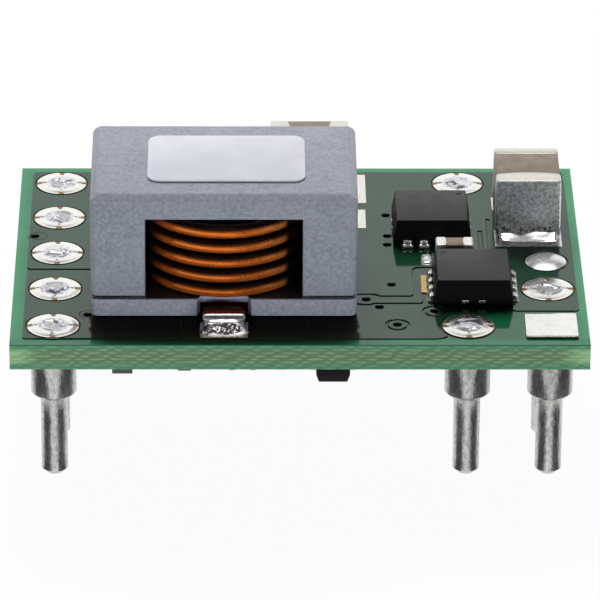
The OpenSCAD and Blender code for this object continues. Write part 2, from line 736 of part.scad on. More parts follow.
module underside_resistor_ends() {
  color([0.85, 0.85, 0.83]) underneath() for (c = underside_resistors)
    at_chip(c) chip_ends(tiny_chip_l, tiny_chip_w, tiny_chip_w * 0.8);
}

circuit_board();
terminal_pin(1);  // pin_1
terminal_pin(2);  // pin_2
terminal_pin(3);  // pin_3
terminal_pin(4);  // pin_4
terminal_pin(5);  // pin_5
terminal_pin(6);  // pin_6
terminal_pin(7);  // pin_7
terminal_pin(8);  // pin_8
terminal_pin(9);  // pin_9
terminal_pin(10);  // pin_10
pin_lands();
pin_solder();
spare_land();
spare_land_solder();
top_lands();
bare_land();
inductor_core();
inductor_base();
inductor_shims();
inductor_bond();
inductor_winding();
inductor_solder();
inductor_label();
front_mosfet_body();
front_mosfet_leads();
front_mosfet_solder();
rear_mosfet_body();
rear_mosfet_leads();
rear_mosfet_solder();
input_capacitor_body();
input_capacitor_ends();
input_capacitor_solder();
output_capacitor_body();
output_capacitor_ends();
output_capacitor_solder();
second_capacitor_body();
second_capacitor_ends();
second_capacitor_solder();
bypass_capacitor_body();
bypass_capacitor_ends();
bypass_capacitor_solder();
underside_lands();
controller_body();
controller_pads();
trio_package_body();
trio_package_leads();
underside_capacitor_bodies();
underside_capacitor_ends();
underside_resistor_bodies();
underside_resistor_ends();
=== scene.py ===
import json
import math

import bmesh
import bpy
from mathutils import Matrix, Vector, noise

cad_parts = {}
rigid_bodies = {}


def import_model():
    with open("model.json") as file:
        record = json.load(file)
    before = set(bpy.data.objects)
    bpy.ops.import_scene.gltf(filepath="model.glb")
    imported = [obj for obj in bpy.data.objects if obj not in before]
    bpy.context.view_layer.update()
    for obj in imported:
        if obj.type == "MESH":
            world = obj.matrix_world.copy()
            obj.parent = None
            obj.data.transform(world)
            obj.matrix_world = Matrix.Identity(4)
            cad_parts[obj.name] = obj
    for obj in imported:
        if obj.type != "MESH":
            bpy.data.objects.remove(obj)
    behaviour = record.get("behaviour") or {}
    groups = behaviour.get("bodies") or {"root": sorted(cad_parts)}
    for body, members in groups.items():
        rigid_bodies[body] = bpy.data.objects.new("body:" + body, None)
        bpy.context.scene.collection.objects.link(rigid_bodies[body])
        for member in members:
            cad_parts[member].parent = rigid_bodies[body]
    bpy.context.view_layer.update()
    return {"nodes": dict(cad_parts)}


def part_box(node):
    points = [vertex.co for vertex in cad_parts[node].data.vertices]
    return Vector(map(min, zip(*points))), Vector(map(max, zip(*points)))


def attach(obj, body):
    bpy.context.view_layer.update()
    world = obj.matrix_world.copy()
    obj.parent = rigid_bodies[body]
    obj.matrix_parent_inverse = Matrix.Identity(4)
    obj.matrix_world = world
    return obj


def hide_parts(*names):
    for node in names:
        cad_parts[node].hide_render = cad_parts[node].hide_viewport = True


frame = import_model()
nodes = frame["nodes"]
mm = 0.001
root = "root"
print("frame loaded:", len(nodes), "solids")


# a socket that does arithmetic, and a plan that grows nodes in any tree
def mathStep(operation, swapped=False):
    def step(self, other=None):
        return self.combine(operation, other, swapped)
    return step


class Wire:
    def __init__(self, tree, socket):
        self.tree = tree
        self.socket = socket

    def combine(self, operation, other, swapped):
        step = self.tree.nodes.new("ShaderNodeMath")
        step.operation = operation
        terms = [self] if other is None else [self, other]
        if swapped:
            terms.reverse()
        for slot, term in zip(step.inputs, terms):
            plug(self.tree, slot, term)
        return Wire(self.tree, step.outputs[0])

    __add__ = __radd__ = mathStep("ADD")
    __sub__ = mathStep("SUBTRACT")
    __rsub__ = mathStep("SUBTRACT", True)
    __mul__ = __rmul__ = mathStep("MULTIPLY")
    __truediv__ = mathStep("DIVIDE")
    __rtruediv__ = mathStep("DIVIDE", True)
    __pow__ = mathStep("POWER")
    __abs__ = mathStep("ABSOLUTE")
    atLeast = mathStep("MAXIMUM")
    atMost = mathStep("MINIMUM")
    above = mathStep("GREATER_THAN")
    below = mathStep("LESS_THAN")
    sine = mathStep("SINE")
    cosine = mathStep("COSINE")
    floor = mathStep("FLOOR")
    fraction = mathStep("FRACT")
    sign = mathStep("SIGN")


def plug(tree, slot, value):
    if isinstance(value, Wire):
        tree.links.new(value.socket, slot)
        return
    held = getattr(slot, "default_value", None)
    if hasattr(held, "__len__") and not isinstance(held, str):
        if not hasattr(value, "__len__"):
            value = (value,) * len(held)
        elif len(held) == 4 and len(value) == 3:
            value = (*value, 1.0)
    slot.default_value = value


class Plan:
    def __init__(self, tree):
        self.tree = tree

    def make(self, kind, settings=None, inputs=None, output=0):
        step = self.tree.nodes.new(kind)
        for key, value in (settings or {}).items():
            setattr(step, key, value)
        for key, value in (inputs or {}).items():
            plug(self.tree, step.inputs[key], value)
        return Wire(self.tree, step.outputs[output]) if step.outputs else None

    def split(self, vector):
        parts = self.make("ShaderNodeSeparateXYZ", None, {0: vector}).socket.node
        return [Wire(self.tree, s) for s in parts.outputs]

    def join(self, x, y, z):
        return self.make("ShaderNodeCombineXYZ", None, {0: x, 1: y, 2: z})

    def vector(self, operation, a, b):
        return self.make("ShaderNodeVectorMath", {"operation": operation}, {0: a, 1: b})

    def scaled(self, a, amount):
        return self.make("ShaderNodeVectorMath", {"operation": "SCALE"}, {0: a, "Scale": amount})

    def span(self, value, low, high, toLow=0.0, toHigh=1.0, smooth=True):
        how = {"interpolation_type": "SMOOTHSTEP" if smooth else "LINEAR"}
        ends = {"From Min": low, "From Max": high, "To Min": toLow, "To Max": toHigh}
        return self.make("ShaderNodeMapRange", how, {"Value": value, **ends})

    def noiseAt(self, place, scale, detail, rough=0.5, warp=0.0):
        how = {"Scale": scale, "Detail": detail, "Roughness": rough, "Distortion": warp}
        return self.make("ShaderNodeTexNoise", None, {"Vector": place, **how})


class Finish(Plan):
    def __init__(self, name, **fixed):
        self.material = bpy.data.materials.new(name)
        self.material.use_nodes = True
        super().__init__(self.material.node_tree)
        self.shader = next(n for n in self.tree.nodes if n.type == "BSDF_PRINCIPLED")
        self.feed(**fixed)
        self.milli = self.scaled(self.make("ShaderNodeTexCoord", output="Object"), 1000.0)  # millimetres
        self.x, self.y, self.z = self.split(self.milli)

    def stretched(self, stretch):
        return self.vector("MULTIPLY", self.milli, stretch) if stretch else self.milli

    def grain(self, perMm, detail=4.0, rough=0.55, stretch=None, warp=0.0):
        return self.noiseAt(self.stretched(stretch), perMm, detail, rough, warp)

    def cells(self, perMm):
        return self.make("ShaderNodeTexVoronoi", None, {"Vector": self.milli, "Scale": perMm}, "Distance")

    def blend(self, factor, a, b):
        return self.make("ShaderNodeMix", {"data_type": "RGBA"}, {0: factor, 6: a, 7: b}, 2)

    def facing(self, normal="True Normal"):
        return self.split(self.make("ShaderNodeNewGeometry", output=normal))

    def held(self, name):
        return self.make("ShaderNodeAttribute", {"attribute_name": name}, None, "Fac")

    def feed(self, **sockets):
        for key, value in sockets.items():
            plug(self.tree, self.shader.inputs[key.replace("_", " ")], value)
        return self

    def paintShade(self, where, shade, rough, shine):  # painted shade: a dull dark sheet laid over part of the surface
        skin = {"Base Color": shade, "Roughness": rough, "Specular IOR Level": shine}
        shadeSheet = self.make("ShaderNodeBsdfPrincipled", None, skin)
        under = Wire(self.tree, self.shader.outputs[0])
        both = self.make("ShaderNodeMixShader", None, {0: where, 1: under, 2: shadeSheet})
        ending = next(n for n in self.tree.nodes if n.type == "OUTPUT_MATERIAL")
        plug(self.tree, ending.inputs[0], both)

    def bump(self, height, strength, distance):
        how = {"Height": height, "Strength": strength, "Distance": distance * mm}
        return self.feed(Normal=self.make("ShaderNodeBump", None, how))


# where the solids are, in millimetres
def boxMm(node):
    low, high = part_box(node)
    return Vector(low) * 1000, Vector(high) * 1000


def middle(node):
    low, high = boxMm(node)
    return (low + high) / 2


boardLow, boardHigh = boxMm("circuit_board")
bottom, top = boardLow.z, boardHigh.z
halfW, halfD = boardHigh.x, boardHigh.y
(coreLeft, coreFront, _), (coreRight, coreBack, _) = boxMm("inductor_core")
coreMiddle = (coreLeft + coreRight) / 2
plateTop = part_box("inductor_base")[1][2] * 1000
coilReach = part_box("inductor_winding")[1][0] * 1000 - coreMiddle
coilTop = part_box("inductor_winding")[1][2] * 1000
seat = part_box("top_lands")[1][2] * 1000  # top of the lands
pins = [middle(f"pin_{i}") for i in range(1, 11)]
spare = middle("spare_land")


# finishes; sizes in them are millimetres, and grains count per millimetre
def dimmed(shade, by):
    return tuple(c * by for c in shade)


maskLook = {  # margin is bare laminate under the mask, plane and pour are copper under it
    "margin": (0.008, 0.178, 0.067), "marginPale": (0.014, 0.220, 0.092), "marginEnds": (0.62, 0.46),
    # front: painted shade along the board's front edge
    "rim": (0.018, 0.340, 0.135), "front": (0.004, 0.120, 0.055), "frontShadeFade": (-7.25, -7.5),
    "plane": (0.003, 0.020, 0.010), "pour": (0.006, 0.041, 0.018), "pourPale": (0.010, 0.056, 0.027),
    "pourSpeck": (0.006, 0.044, 0.022), "cornerX": 5.6, "cornerY": -5.06, "cornerShare": 0.46,
    "gloss": 0.045, "shine": 0.46, "bump": 0.12,
}
edgeLook = {  # the board's cut edge
    "plies": 8.0, "strands": 4.2, "shift": 1.9, "wander": 6.0, "lens": 0.8, "innerEnds": (10.95, 9.75),
    "resin": (0.290, 0.540, 0.255), "resinInner": (0.128, 0.246, 0.110),
    "glass": (0.500, 0.700, 0.440), "glassInner": (0.420, 0.530, 0.340), "glassShare": 0.52,
    "green": (0.078, 0.285, 0.148), "greenGlass": (0.280, 0.490, 0.310), "greenShare": 0.45,
    "lip": (0.012, 0.130, 0.060), "bore": (0.020, 0.010, 0.006), "rough": 0.38,
}
paintedShadeLook = {  # painted shade: a dull dark sheet on the board in front of the base plate, where the plate's shade falls
    "ragged": 0.5, "rough": 0.6, "shine": 0.04,
    "board": ((0.012, 0.040, 0.018), (0.040, 0.300, 0.145)), "boardFade": (-7.36, -7.86),
    "pour": ((0.007, 0.007, 0.004), (0.018, 0.030, 0.015)), "pourFade": (-6.6, -7.35),
}


# where the painted shade in front of the base plate lies, with ragged ends
def plateShadeZone(f):
    along = f.x + (f.grain(1.3, 3.0) - 0.5) * paintedShadeLook["ragged"]
    fromLeft = f.span(along, coreLeft - 0.10, coreLeft + 0.06)
    toRight = f.span(along, coreRight + 0.10, coreRight - 0.06)
    return fromLeft * toRight * f.span(f.y, coreFront + 0.12, coreFront + 0.02)


def cutEdge(f, nx, inset):  # plies of glass strands, each ply shifted against the next
    sideways = abs(nx).above(0.5)
    run = f.x * (1 - sideways) + f.y * sideways
    ply = (f.z - bottom + f.grain(0.9, 2.0) * 0.05) * (edgeLook["plies"] / (top - bottom))
    row = ply.floor()
    wobble = f.grain(1.1, 2.0)
    phase = run * edgeLook["strands"] + row * edgeLook["shift"] + wobble * edgeLook["wander"]
    lens = abs(phase.sine()) - abs((ply - row) * 2.0 - 1.0) * edgeLook["lens"]
    strand = f.span(lens + f.grain(7.0, 4.0, 0.65, stretch=(0.3, 0.3, 1.8)) * 1.1, 0.66, 1.42)
    inner = f.span(abs(run), *edgeLook["innerEnds"])  # inner copper stops short of the ends
    resin = f.blend(inner, edgeLook["resin"], edgeLook["resinInner"])
    glass = f.blend(inner, edgeLook["glass"], edgeLook["glassInner"])
    edge = f.blend(strand * edgeLook["glassShare"], resin, glass)
    green = f.blend(strand * edgeLook["greenShare"], edgeLook["green"], edgeLook["greenGlass"])
    edge = f.blend(f.span(f.z + wobble * 0.06, top - 0.26, top - 0.10), edge, green)
    edge = f.blend(f.span(f.z - wobble * 0.08, bottom + 0.30, bottom + 0.10), edge, green)
    edge = f.blend(f.span(f.z, top - 0.07, top - 0.02), edge, edgeLook["lip"])
    return f.blend(f.span(inset, 0.02, 0.1), edge, edgeLook["bore"]), strand


def boardFinish():
    f = Finish("boardLaminate", Specular_IOR_Level=maskLook["shine"])
    nx, _, nz = f.facing()
    upward, upright = nz.above(0.5), abs(nz).below(0.5)
    inset = (halfW - abs(f.x)).atMost(halfD - abs(f.y))  # distance in from the outline
    cloudy, fine = f.grain(0.8, 3.0), f.grain(9.0, 2.0)
    corner = f.x.above(maskLook["cornerX"]) * f.y.below(maskLook["cornerY"])
    corner = corner * upward * maskLook["cornerShare"]
    bare = f.span(inset + fine * 0.08, *maskLook["marginEnds"]).atLeast(corner)
    margin = f.blend(f.span(cloudy, 0.35, 0.7), maskLook["margin"], maskLook["marginPale"])
    margin = f.blend(f.span(inset, 0.42, 0.0) * 0.42, margin, maskLook["rim"])  # lit through the outline
    # painted shade: the margin is darkened towards the front edge
    margin = f.blend(f.span(f.y, *maskLook["frontShadeFade"]) * 0.55, margin, maskLook["front"])
    planes = f.blend(f.span(cloudy, 0.3, 0.7), maskLook["plane"], maskLook["pour"])
    face = f.blend(bare, planes, margin)
    edge, strand = cutEdge(f, nx, inset)
    # painted shade on the board in front of the base plate, fading to green towards the front edge
    shadeSheet = f.blend(f.span(f.y, *paintedShadeLook["boardFade"], smooth=False), *paintedShadeLook["board"])
    f.paintShade(plateShadeZone(f) * upward, shadeSheet, paintedShadeLook["rough"], paintedShadeLook["shine"])
    rough = upright * edgeLook["rough"] + cloudy * 0.06 + maskLook["gloss"]
    f.feed(Base_Color=f.blend(upright, face, edge), Roughness=rough)
    return f.bump(fine * 0.12 + cloudy * 0.5 + strand * upright * 3.0, maskLook["bump"], 0.02).material


def pourFinish():
    f = Finish("maskOverCopper", Specular_IOR_Level=maskLook["shine"])
    cloudy, fine = f.grain(0.55, 4.0), f.grain(14.0, 3.0)
    shade = f.blend(f.span(cloudy, 0.3, 0.72), maskLook["pour"], maskLook["pourPale"])
    shade = f.blend(f.span(fine, 0.55, 0.85) * 0.3, shade, maskLook["pourSpeck"])
    f.feed(Base_Color=shade, Roughness=cloudy * 0.05 + fine * 0.03 + maskLook["gloss"])
    # painted shade on the copper in front of the base plate
    shadeSheet = f.blend(f.span(f.y, *paintedShadeLook["pourFade"]), *paintedShadeLook["pour"])
    f.paintShade(plateShadeZone(f), shadeSheet, paintedShadeLook["rough"], paintedShadeLook["shine"])
    return f.bump(fine * 0.15 + cloudy, maskLook["bump"], 0.02).material


tinLook = {  # wave counts per millimetre, warm yellows it, speck and dark are its darker spots
    "solder": {
        "light": 0.95, "rough": 0.10, "wave": 1.6, "warm": 0.10, "ripple": 0.15, "speck": 0.2, "dark": 0.8,
    },
    "dome": {
        "light": 0.95, "rough": 0.24, "wave": 1.2, "warm": 0.05, "ripple": 0.05, "speck": 0.0, "metal": 0.65,
    },
    "land": {
        "light": 0.90, "rough": 0.26, "wave": 2.0, "warm": 0.3, "ripple": 0.10, "speck": 0.2, "dark": 0.85,
    },
    "smallEnd": {
        "light": 0.90, "rough": 0.34, "wave": 3.0, "warm": 0.10, "speck": 0.3, "dark": 0.8, "metal": 0.45,
    },
    # painted shade: the tinned ends under the board are painted dark
    "dullEnd": {
        "light": 0.11, "rough": 0.42, "wave": 2.0, "warm": 0.10, "ripple": 0.30, "speck": 0.8, "dark": 0.45,
    },
    "lead": {
        "light": 0.82, "rough": 0.26, "wave": 6.0, "warm": 0.05, "ripple": 0.30,
    },
}


def tinFinish(name, light, rough, wave, warm, ripple=0.20, speck=0.5, dark=0.6, metal=1.0):
    f = Finish(name, Metallic=metal)
    slow, fine = f.grain(wave, 3.0, warp=0.6), f.grain(wave * 8.0, 3.0)
    pale = (light, light * (1 - warm * 0.06), light * (1 - warm * 0.25))
    tone = f.blend(f.span(slow, 0.3, 0.7), dimmed(pale, 0.9), pale)
    tone = f.blend(f.span(fine, 0.55, 0.72) * speck, tone, dimmed(pale, dark))
    f.feed(Base_Color=tone, Roughness=f.span(fine + slow, 0.7, 1.3, rough * 0.7, rough * 1.35))
    return f.bump(slow * 3.0 + fine * 0.4, ripple, 0.03).material


padLook = {  # ring is the printed solder, skin the pool over the pin end
    "ring": (0.90, 0.89, 0.83), "ringPale": (0.96, 0.95, 0.90), "skinPale": (0.88, 0.88, 0.92),
    "skin": (0.62, 0.62, 0.68), "stain": (0.26, 0.26, 0.30), "stainShare": 0.65, "rough": (0.16, 0.26),
}


def padFinish():
    f = Finish("padSolder", Metallic=1.0)
    pool = f.held("pool")
    slow, fine = f.grain(1.6, 3.0, warp=0.6), f.grain(9.0, 3.0)
    ring = f.blend(f.span(slow, 0.3, 0.7), padLook["ring"], padLook["ringPale"])
    skin = f.blend(f.span(fine, 0.40, 0.66), padLook["skinPale"], padLook["skin"])
    stain = f.span(f.grain(2.6, 2.0, warp=1.2), 0.50, 0.66) * padLook["stainShare"]
    skin = f.blend(stain, skin, padLook["stain"])
    rough = f.span(fine + slow, 0.7, 1.3, *padLook["rough"]) + pool * 0.03
    f.feed(Base_Color=f.blend(pool, ring, skin), Roughness=rough)
    return f.bump(slow * 2.0 + fine * 0.5 * (1 + pool), 0.2, 0.03).material


# lead joints at the inductor: their finish follows their sizes
jointSizes = {
    "half": 0.79, "flare": 0.22, "tuck": 0.42, "length": 0.66, "height": 0.37, "shoulder": 0.18,
    "drop": 0.143, "dent": 0.03, "start": 0.94, "rearStart": 1.85, "rearX": -0.9,
}
jointLook = {
    "bright": (0.93, 0.93, 0.95), "pit": (0.050, 0.044, 0.050), "rough": (0.16, 0.24), "frontRough": 0.14,
    "ovalX": 0.05, "ovalHalf": 0.63, "ovalAt": 0.27, "ovalDeep": 0.245,  # painted dark reflection: the front face is darkened in an oval, mottled by pores, inside a bright rim
}


def jointFinish():
    f = Finish("lumpSolder", Metallic=1.0)
    pores, slow = f.grain(8.0, 3.0, 0.6, warp=0.8), f.grain(2.0, 2.0)
    past = jointSizes["shoulder"] * jointSizes["length"]
    outward = coreFront - jointSizes["start"] - past - f.y
    outward = outward.atLeast(f.y - coreBack - jointSizes["rearStart"] - past)
    front = f.span(outward, -0.02, 0.03)
    aside = abs(f.x - coreMiddle - jointLook["ovalX"])
    aside = aside.atMost(abs(f.x - coreMiddle - jointSizes["rearX"]))
    darkReflectionOval = (aside / jointLook["ovalHalf"]) ** 2.0
    darkReflectionOval = darkReflectionOval + ((outward - jointLook["ovalAt"]) / jointLook["ovalDeep"]) ** 2.0
    # painted reflection: dark pores fill the oval on the front face
    pitted = front * f.span(darkReflectionOval, 1.20, 0.85) * f.span(pores, 0.39, 0.47)
    rough = f.span(slow, 0.3, 0.7, *jointLook["rough"]) + front * jointLook["frontRough"]
    f.feed(Base_Color=f.blend(pitted, jointLook["bright"], jointLook["pit"]), Roughness=rough)
    return f.bump(pores * front * 2.5 + slow * 0.4, 0.45, 0.03).material


endLook = {
    "crown": (0.80, 0.775, 0.705), "face": (0.96, 0.97, 1.0), "metal": 0.80, "rough": 0.34,
    "dull": 0.56, "clean": 0.92, "pit": 0.22, "stain": (0.060, 0.042, 0.058), "stainTop": (0.62, 0.50),
}


def endFinish():
    f = Finish("platedEnd", Metallic=endLook["metal"])
    nz = f.facing("Normal")[2]
    face, crown = endLook["face"], endLook["crown"]
    cloud, grit, pits = f.grain(1.5, 3.0, warp=0.5), f.grain(8.0, 4.0, 0.66), f.cells(3.2)
    skin = f.blend(f.span(grit, 0.40, 0.62), dimmed(face, endLook["dull"]), dimmed(face, endLook["clean"]))
    pitted = f.span(pits, 0.20, 0.06) * f.span(cloud, 0.42, 0.58)
    skin = f.blend(pitted, skin, dimmed(face, endLook["pit"]))
    stain = f.span(f.z + grit * 0.2, *(seat + h for h in endLook["stainTop"]))
    stain = stain * f.span(f.grain(3.4, 2.0, warp=1.0), 0.50, 0.58)
    skin = f.blend(stain * 0.9, skin, endLook["stain"])
    crown = f.blend(f.span(grit, 0.45, 0.75) * 0.6, crown, dimmed(crown, 0.8))
    rough = f.span(grit, 0.3, 0.7, endLook["rough"] * 0.8, endLook["rough"] * 1.2)
    f.feed(Base_Color=f.blend(f.span(abs(nz), 0.55, 0.80), skin, crown), Roughness=rough)
    return f.bump(grit * 1.2 + cloud * 0.8, 0.25, 0.03).material


pinLook = {
    "grey": (0.54, 0.53, 0.52), "pale": (0.76, 0.75, 0.74), "patch": (0.36, 0.35, 0.345), "patchShare": 0.68,
    "speck": (0.36, 0.35, 0.34), "speckShare": 0.6, "rough": (0.19, 0.38), "bump": 0.45,
}


def pinFinish():
    f = Finish("tinnedPin", Metallic=1.0)
    streak, fine = f.grain(2.4, 4.0, stretch=(2.5, 2.5, 0.5)), f.grain(20.0, 3.0)
    patch = f.grain(6.0, 4.0, 0.65, stretch=(1.4, 1.4, 0.8), warp=0.5)
    tone = f.blend(f.span(streak, 0.3, 0.7), pinLook["grey"], pinLook["pale"])
    tone = f.blend(f.span(patch, 0.45, 0.61) * pinLook["patchShare"], tone, pinLook["patch"])
    tone = f.blend(f.span(fine, 0.6, 0.8) * pinLook["speckShare"], tone, pinLook["speck"])
    f.feed(Base_Color=tone, Roughness=f.span(streak + fine * 0.5, 0.4, 1.1, *pinLook["rough"]))
    return f.bump(streak * 1.6 + patch * 1.6 + fine * 0.7, pinLook["bump"], 0.02).material


def goldFinish(name, base):
    f = Finish(name, Metallic=1.0)
    slow, fine = f.grain(4.0, 3.0), f.grain(30.0, 2.0)
    tone = f.blend(f.span(slow, 0.3, 0.7), dimmed(base, 0.72), base)
    f.feed(Base_Color=tone, Roughness=f.span(fine, 0.3, 0.7, 0.30, 0.46))
    return f.bump(fine, 0.2, 0.01).material


ferriteLook = {
    "deep": (0.252, 0.268, 0.330), "mid": (0.298, 0.314, 0.374), "pale": (0.392, 0.410, 0.462),
    # plate and platePale: painted light on the base plate and the slanted edges
    "plate": (0.390, 0.400, 0.490), "platePale": (0.560, 0.570, 0.640), "plateLightShare": 0.7, "slantLightShare": 0.97,
    "pit": (0.130, 0.130, 0.155), "pitShare": 0.7, "scrape": (0.490, 0.500, 0.530), "scrapeShare": 0.3,
    # near black inside the window is painted shade
    "windowShade": (0.004, 0.003, 0.003), "windowShadeShare": 0.97, "windowHalf": 3.0, "rough": (0.50, 0.68),
}


def ferriteFinish():
    f = Finish("pressedFerrite", Specular_IOR_Level=0.45)
    grit, speck, cloud = f.grain(7.0, 5.0, 0.68), f.cells(6.0), f.grain(0.8, 3.0)
    scrape = f.grain(2.2, 3.0, stretch=(0.22, 1.0, 2.4))
    shade = f.blend(f.span(cloud, 0.32, 0.68), ferriteLook["deep"], ferriteLook["mid"])
    _, ny, nz = f.facing()
    slant = nz.above(0.35) * nz.below(0.92) * abs(ny).above(0.3)
    paintedLight = f.z.below(plateTop) * ferriteLook["plateLightShare"]  # painted light: the base plate and the long slanted edges are painted paler
    paintedLight = paintedLight.atLeast(slant * ferriteLook["slantLightShare"])
    shade = f.blend(paintedLight, shade, ferriteLook["plate"])
    pale = f.blend(paintedLight, ferriteLook["pale"], ferriteLook["platePale"])
    shade = f.blend(f.span(grit, 0.36, 0.66), shade, pale)
    pits = f.span(speck, 0.16, 0.05) * f.span(grit, 0.45, 0.6) * ferriteLook["pitShare"]
    shade = f.blend(pits, shade, ferriteLook["pit"])
    shade = f.blend(f.span(scrape, 0.60, 0.74) * ferriteLook["scrapeShare"], shade, ferriteLook["scrape"])
    # painted shade: the faces round the coil inside the window are painted near black
    windowShade = abs(f.x - coreMiddle).below(ferriteLook["windowHalf"])
    windowShade = windowShade * f.y.above(coreFront + 0.1) * f.y.below(coreBack - 0.1)
    windowShade = windowShade * f.z.above(plateTop - 0.03) * f.z.below(coilTop + 0.15)
    shade = f.blend(windowShade * ferriteLook["windowShadeShare"], shade, ferriteLook["windowShade"])
    f.feed(Base_Color=shade, Roughness=f.span(grit, 0.3, 0.7, *ferriteLook["rough"]))
    return f.bump(grit * 1.4 + cloud * 0.6 - f.span(speck, 0.14, 0.04), 0.4, 0.03).material


copperLook = {
    "deep": (0.77, 0.156, 0.015), "mid": (0.94, 0.220, 0.026), "drawn": (0.90, 0.27, 0.04), "drawnShare": 0.2,
    "right": (0.98, 0.36, 0.090), "rightHighlightShare": 0.65, "turnShade": (0.016, 0.005, 0.002), "dullShare": 0.35,
    "lead": (0.030, 0.012, 0.007), "leadShadeShare": 0.82, "leadTop": 0.72, "tinned": (0.60, 0.65, 0.62),
    "rough": (0.26, 0.36), "bump": 0.08,
}


def copperFinish():
    f = Finish("enamelledCopper", Metallic=1.0)
    nz = f.facing("Normal")[2]
    slow, drawn = f.grain(1.4, 3.0), f.grain(7.0, 3.0)
    tone = f.blend(f.span(slow, 0.3, 0.7), copperLook["deep"], copperLook["mid"])
    tone = f.blend(f.span(drawn, 0.55, 0.75) * copperLook["drawnShare"], tone, copperLook["drawn"])
    # painted shade: each turn is painted near black but for a lit band facing out and a little down, and the
    # coil's sides at the front are painted dark too
    around = (f.x - coreMiddle) / coilReach
    atFront = f.y.below((coreFront + coreBack) / 2)
    litMiddle = f.span(around, 0.745, 0.665) * f.span(around, -0.86, -0.64)
    # painted highlight: the front of the coil is painted a brighter orange towards the right
    tone = f.blend(f.span(around, 0.34, 0.68) * atFront * copperLook["rightHighlightShare"], tone, copperLook["right"])
    litBand = f.span(nz, 0.68, 0.08) * f.span(nz, -1.0, -0.60) * (1 - atFront * (1 - litMiddle))
    coiled = f.z.above(top + copperLook["leadTop"]) * f.y.below(coreBack - 0.1)
    tone = f.blend(coiled * (1 - litBand), tone, copperLook["turnShade"])
    # painted shade: the lead under the base plate is painted dark brown
    lead = f.y.below(coreFront + 1.2) * f.z.below(top + copperLook["leadTop"])
    tone = f.blend(lead * copperLook["leadShadeShare"], tone, copperLook["lead"])
    # tinned feet; their grey-green cast is a painted reflection of the board
    frontFoot = f.span(f.y + slow * 0.1, coreFront - 0.74, coreFront - 0.80)
    rearFoot = f.y.above(coreFront + 7.2) * f.z.below(top + 0.5)
    tone = f.blend(frontFoot.atLeast(rearFoot), tone, copperLook["tinned"])
    rough = f.span(drawn, 0.3, 0.7, *copperLook["rough"])
    f.feed(Base_Color=tone, Metallic=1 - coiled * copperLook["dullShare"], Roughness=rough)
    return f.bump(slow, copperLook["bump"], 0.02).material


mouldLook = {
    "side": ((0.005, 0.0045, 0.006), (0.009, 0.009, 0.010)),
    "face": ((0.036, 0.036, 0.038), (0.060, 0.059, 0.060)),
    "shine": 0.12, "rough": (0.34, 0.50),
}


def mouldFinish():
    f = Finish("mouldCompound", Specular_IOR_Level=mouldLook["shine"])
    nz = f.facing()[2]
    grit, cloud = f.grain(20.0, 4.0, 0.65), f.grain(2.0, 3.0)
    side, face = (f.blend(f.span(grit, 0.35, 0.7), *mouldLook[k]) for k in ("side", "face"))
    rough = f.span(cloud + grit * 0.6, 0.5, 1.1, *mouldLook["rough"])
    # painted sheen: the top face is painted lighter grey than the near black sides
    f.feed(Base_Color=f.blend(nz.above(0.7), side, face), Roughness=rough)
    return f.bump(grit + cloud * 0.4, 0.25, 0.02).material


def ceramicFinish(name, deep, pale, speck=(0.150, 0.105, 0.075)):
    f = Finish(name)
    grit, cloud = f.grain(16.0, 4.0), f.grain(1.6, 3.0)
    shade = f.blend(f.span(cloud, 0.3, 0.7), deep, pale)
    shade = f.blend(f.span(grit, 0.5, 0.8) * 0.4, shade, speck)
    f.feed(Base_Color=shade, Roughness=f.span(grit, 0.3, 0.7, 0.36, 0.54))
    return f.bump(grit, 0.2, 0.015).material


paperLook = {
    "paper": (0.660, 0.660, 0.740), "pale": (0.720, 0.720, 0.790), "fibre": (0.600, 0.600, 0.680),
    "fibreShare": 0.4, "rough": (0.36, 0.50),
}


def paperFinish():
    f = Finish("labelPaper", Specular_IOR_Level=0.4)
    fibre, cloud = f.grain(9.0, 5.0, 0.7, stretch=(1.0, 2.2, 1.0)), f.grain(0.6, 2.0)
    shade = f.blend(f.span(cloud, 0.3, 0.7), paperLook["paper"], paperLook["pale"])
    shade = f.blend(f.span(fibre, 0.5, 0.75) * paperLook["fibreShare"], shade, paperLook["fibre"])
    f.feed(Base_Color=shade, Roughness=f.span(fibre, 0.3, 0.7, *paperLook["rough"]))
    return f.bump(fibre, 0.12, 0.01).material


def darkFinish(name, shade, rough=0.6):
    f = Finish(name, Specular_IOR_Level=0.4)
    grit = f.grain(12.0, 3.0)
    tone = f.blend(f.span(grit, 0.3, 0.7), shade, dimmed(shade, 1.7))
    f.feed(Base_Color=tone, Roughness=f.span(grit, 0.3, 0.7, rough * 0.85, rough * 1.1))
    return f.bump(grit, 0.2, 0.02).material


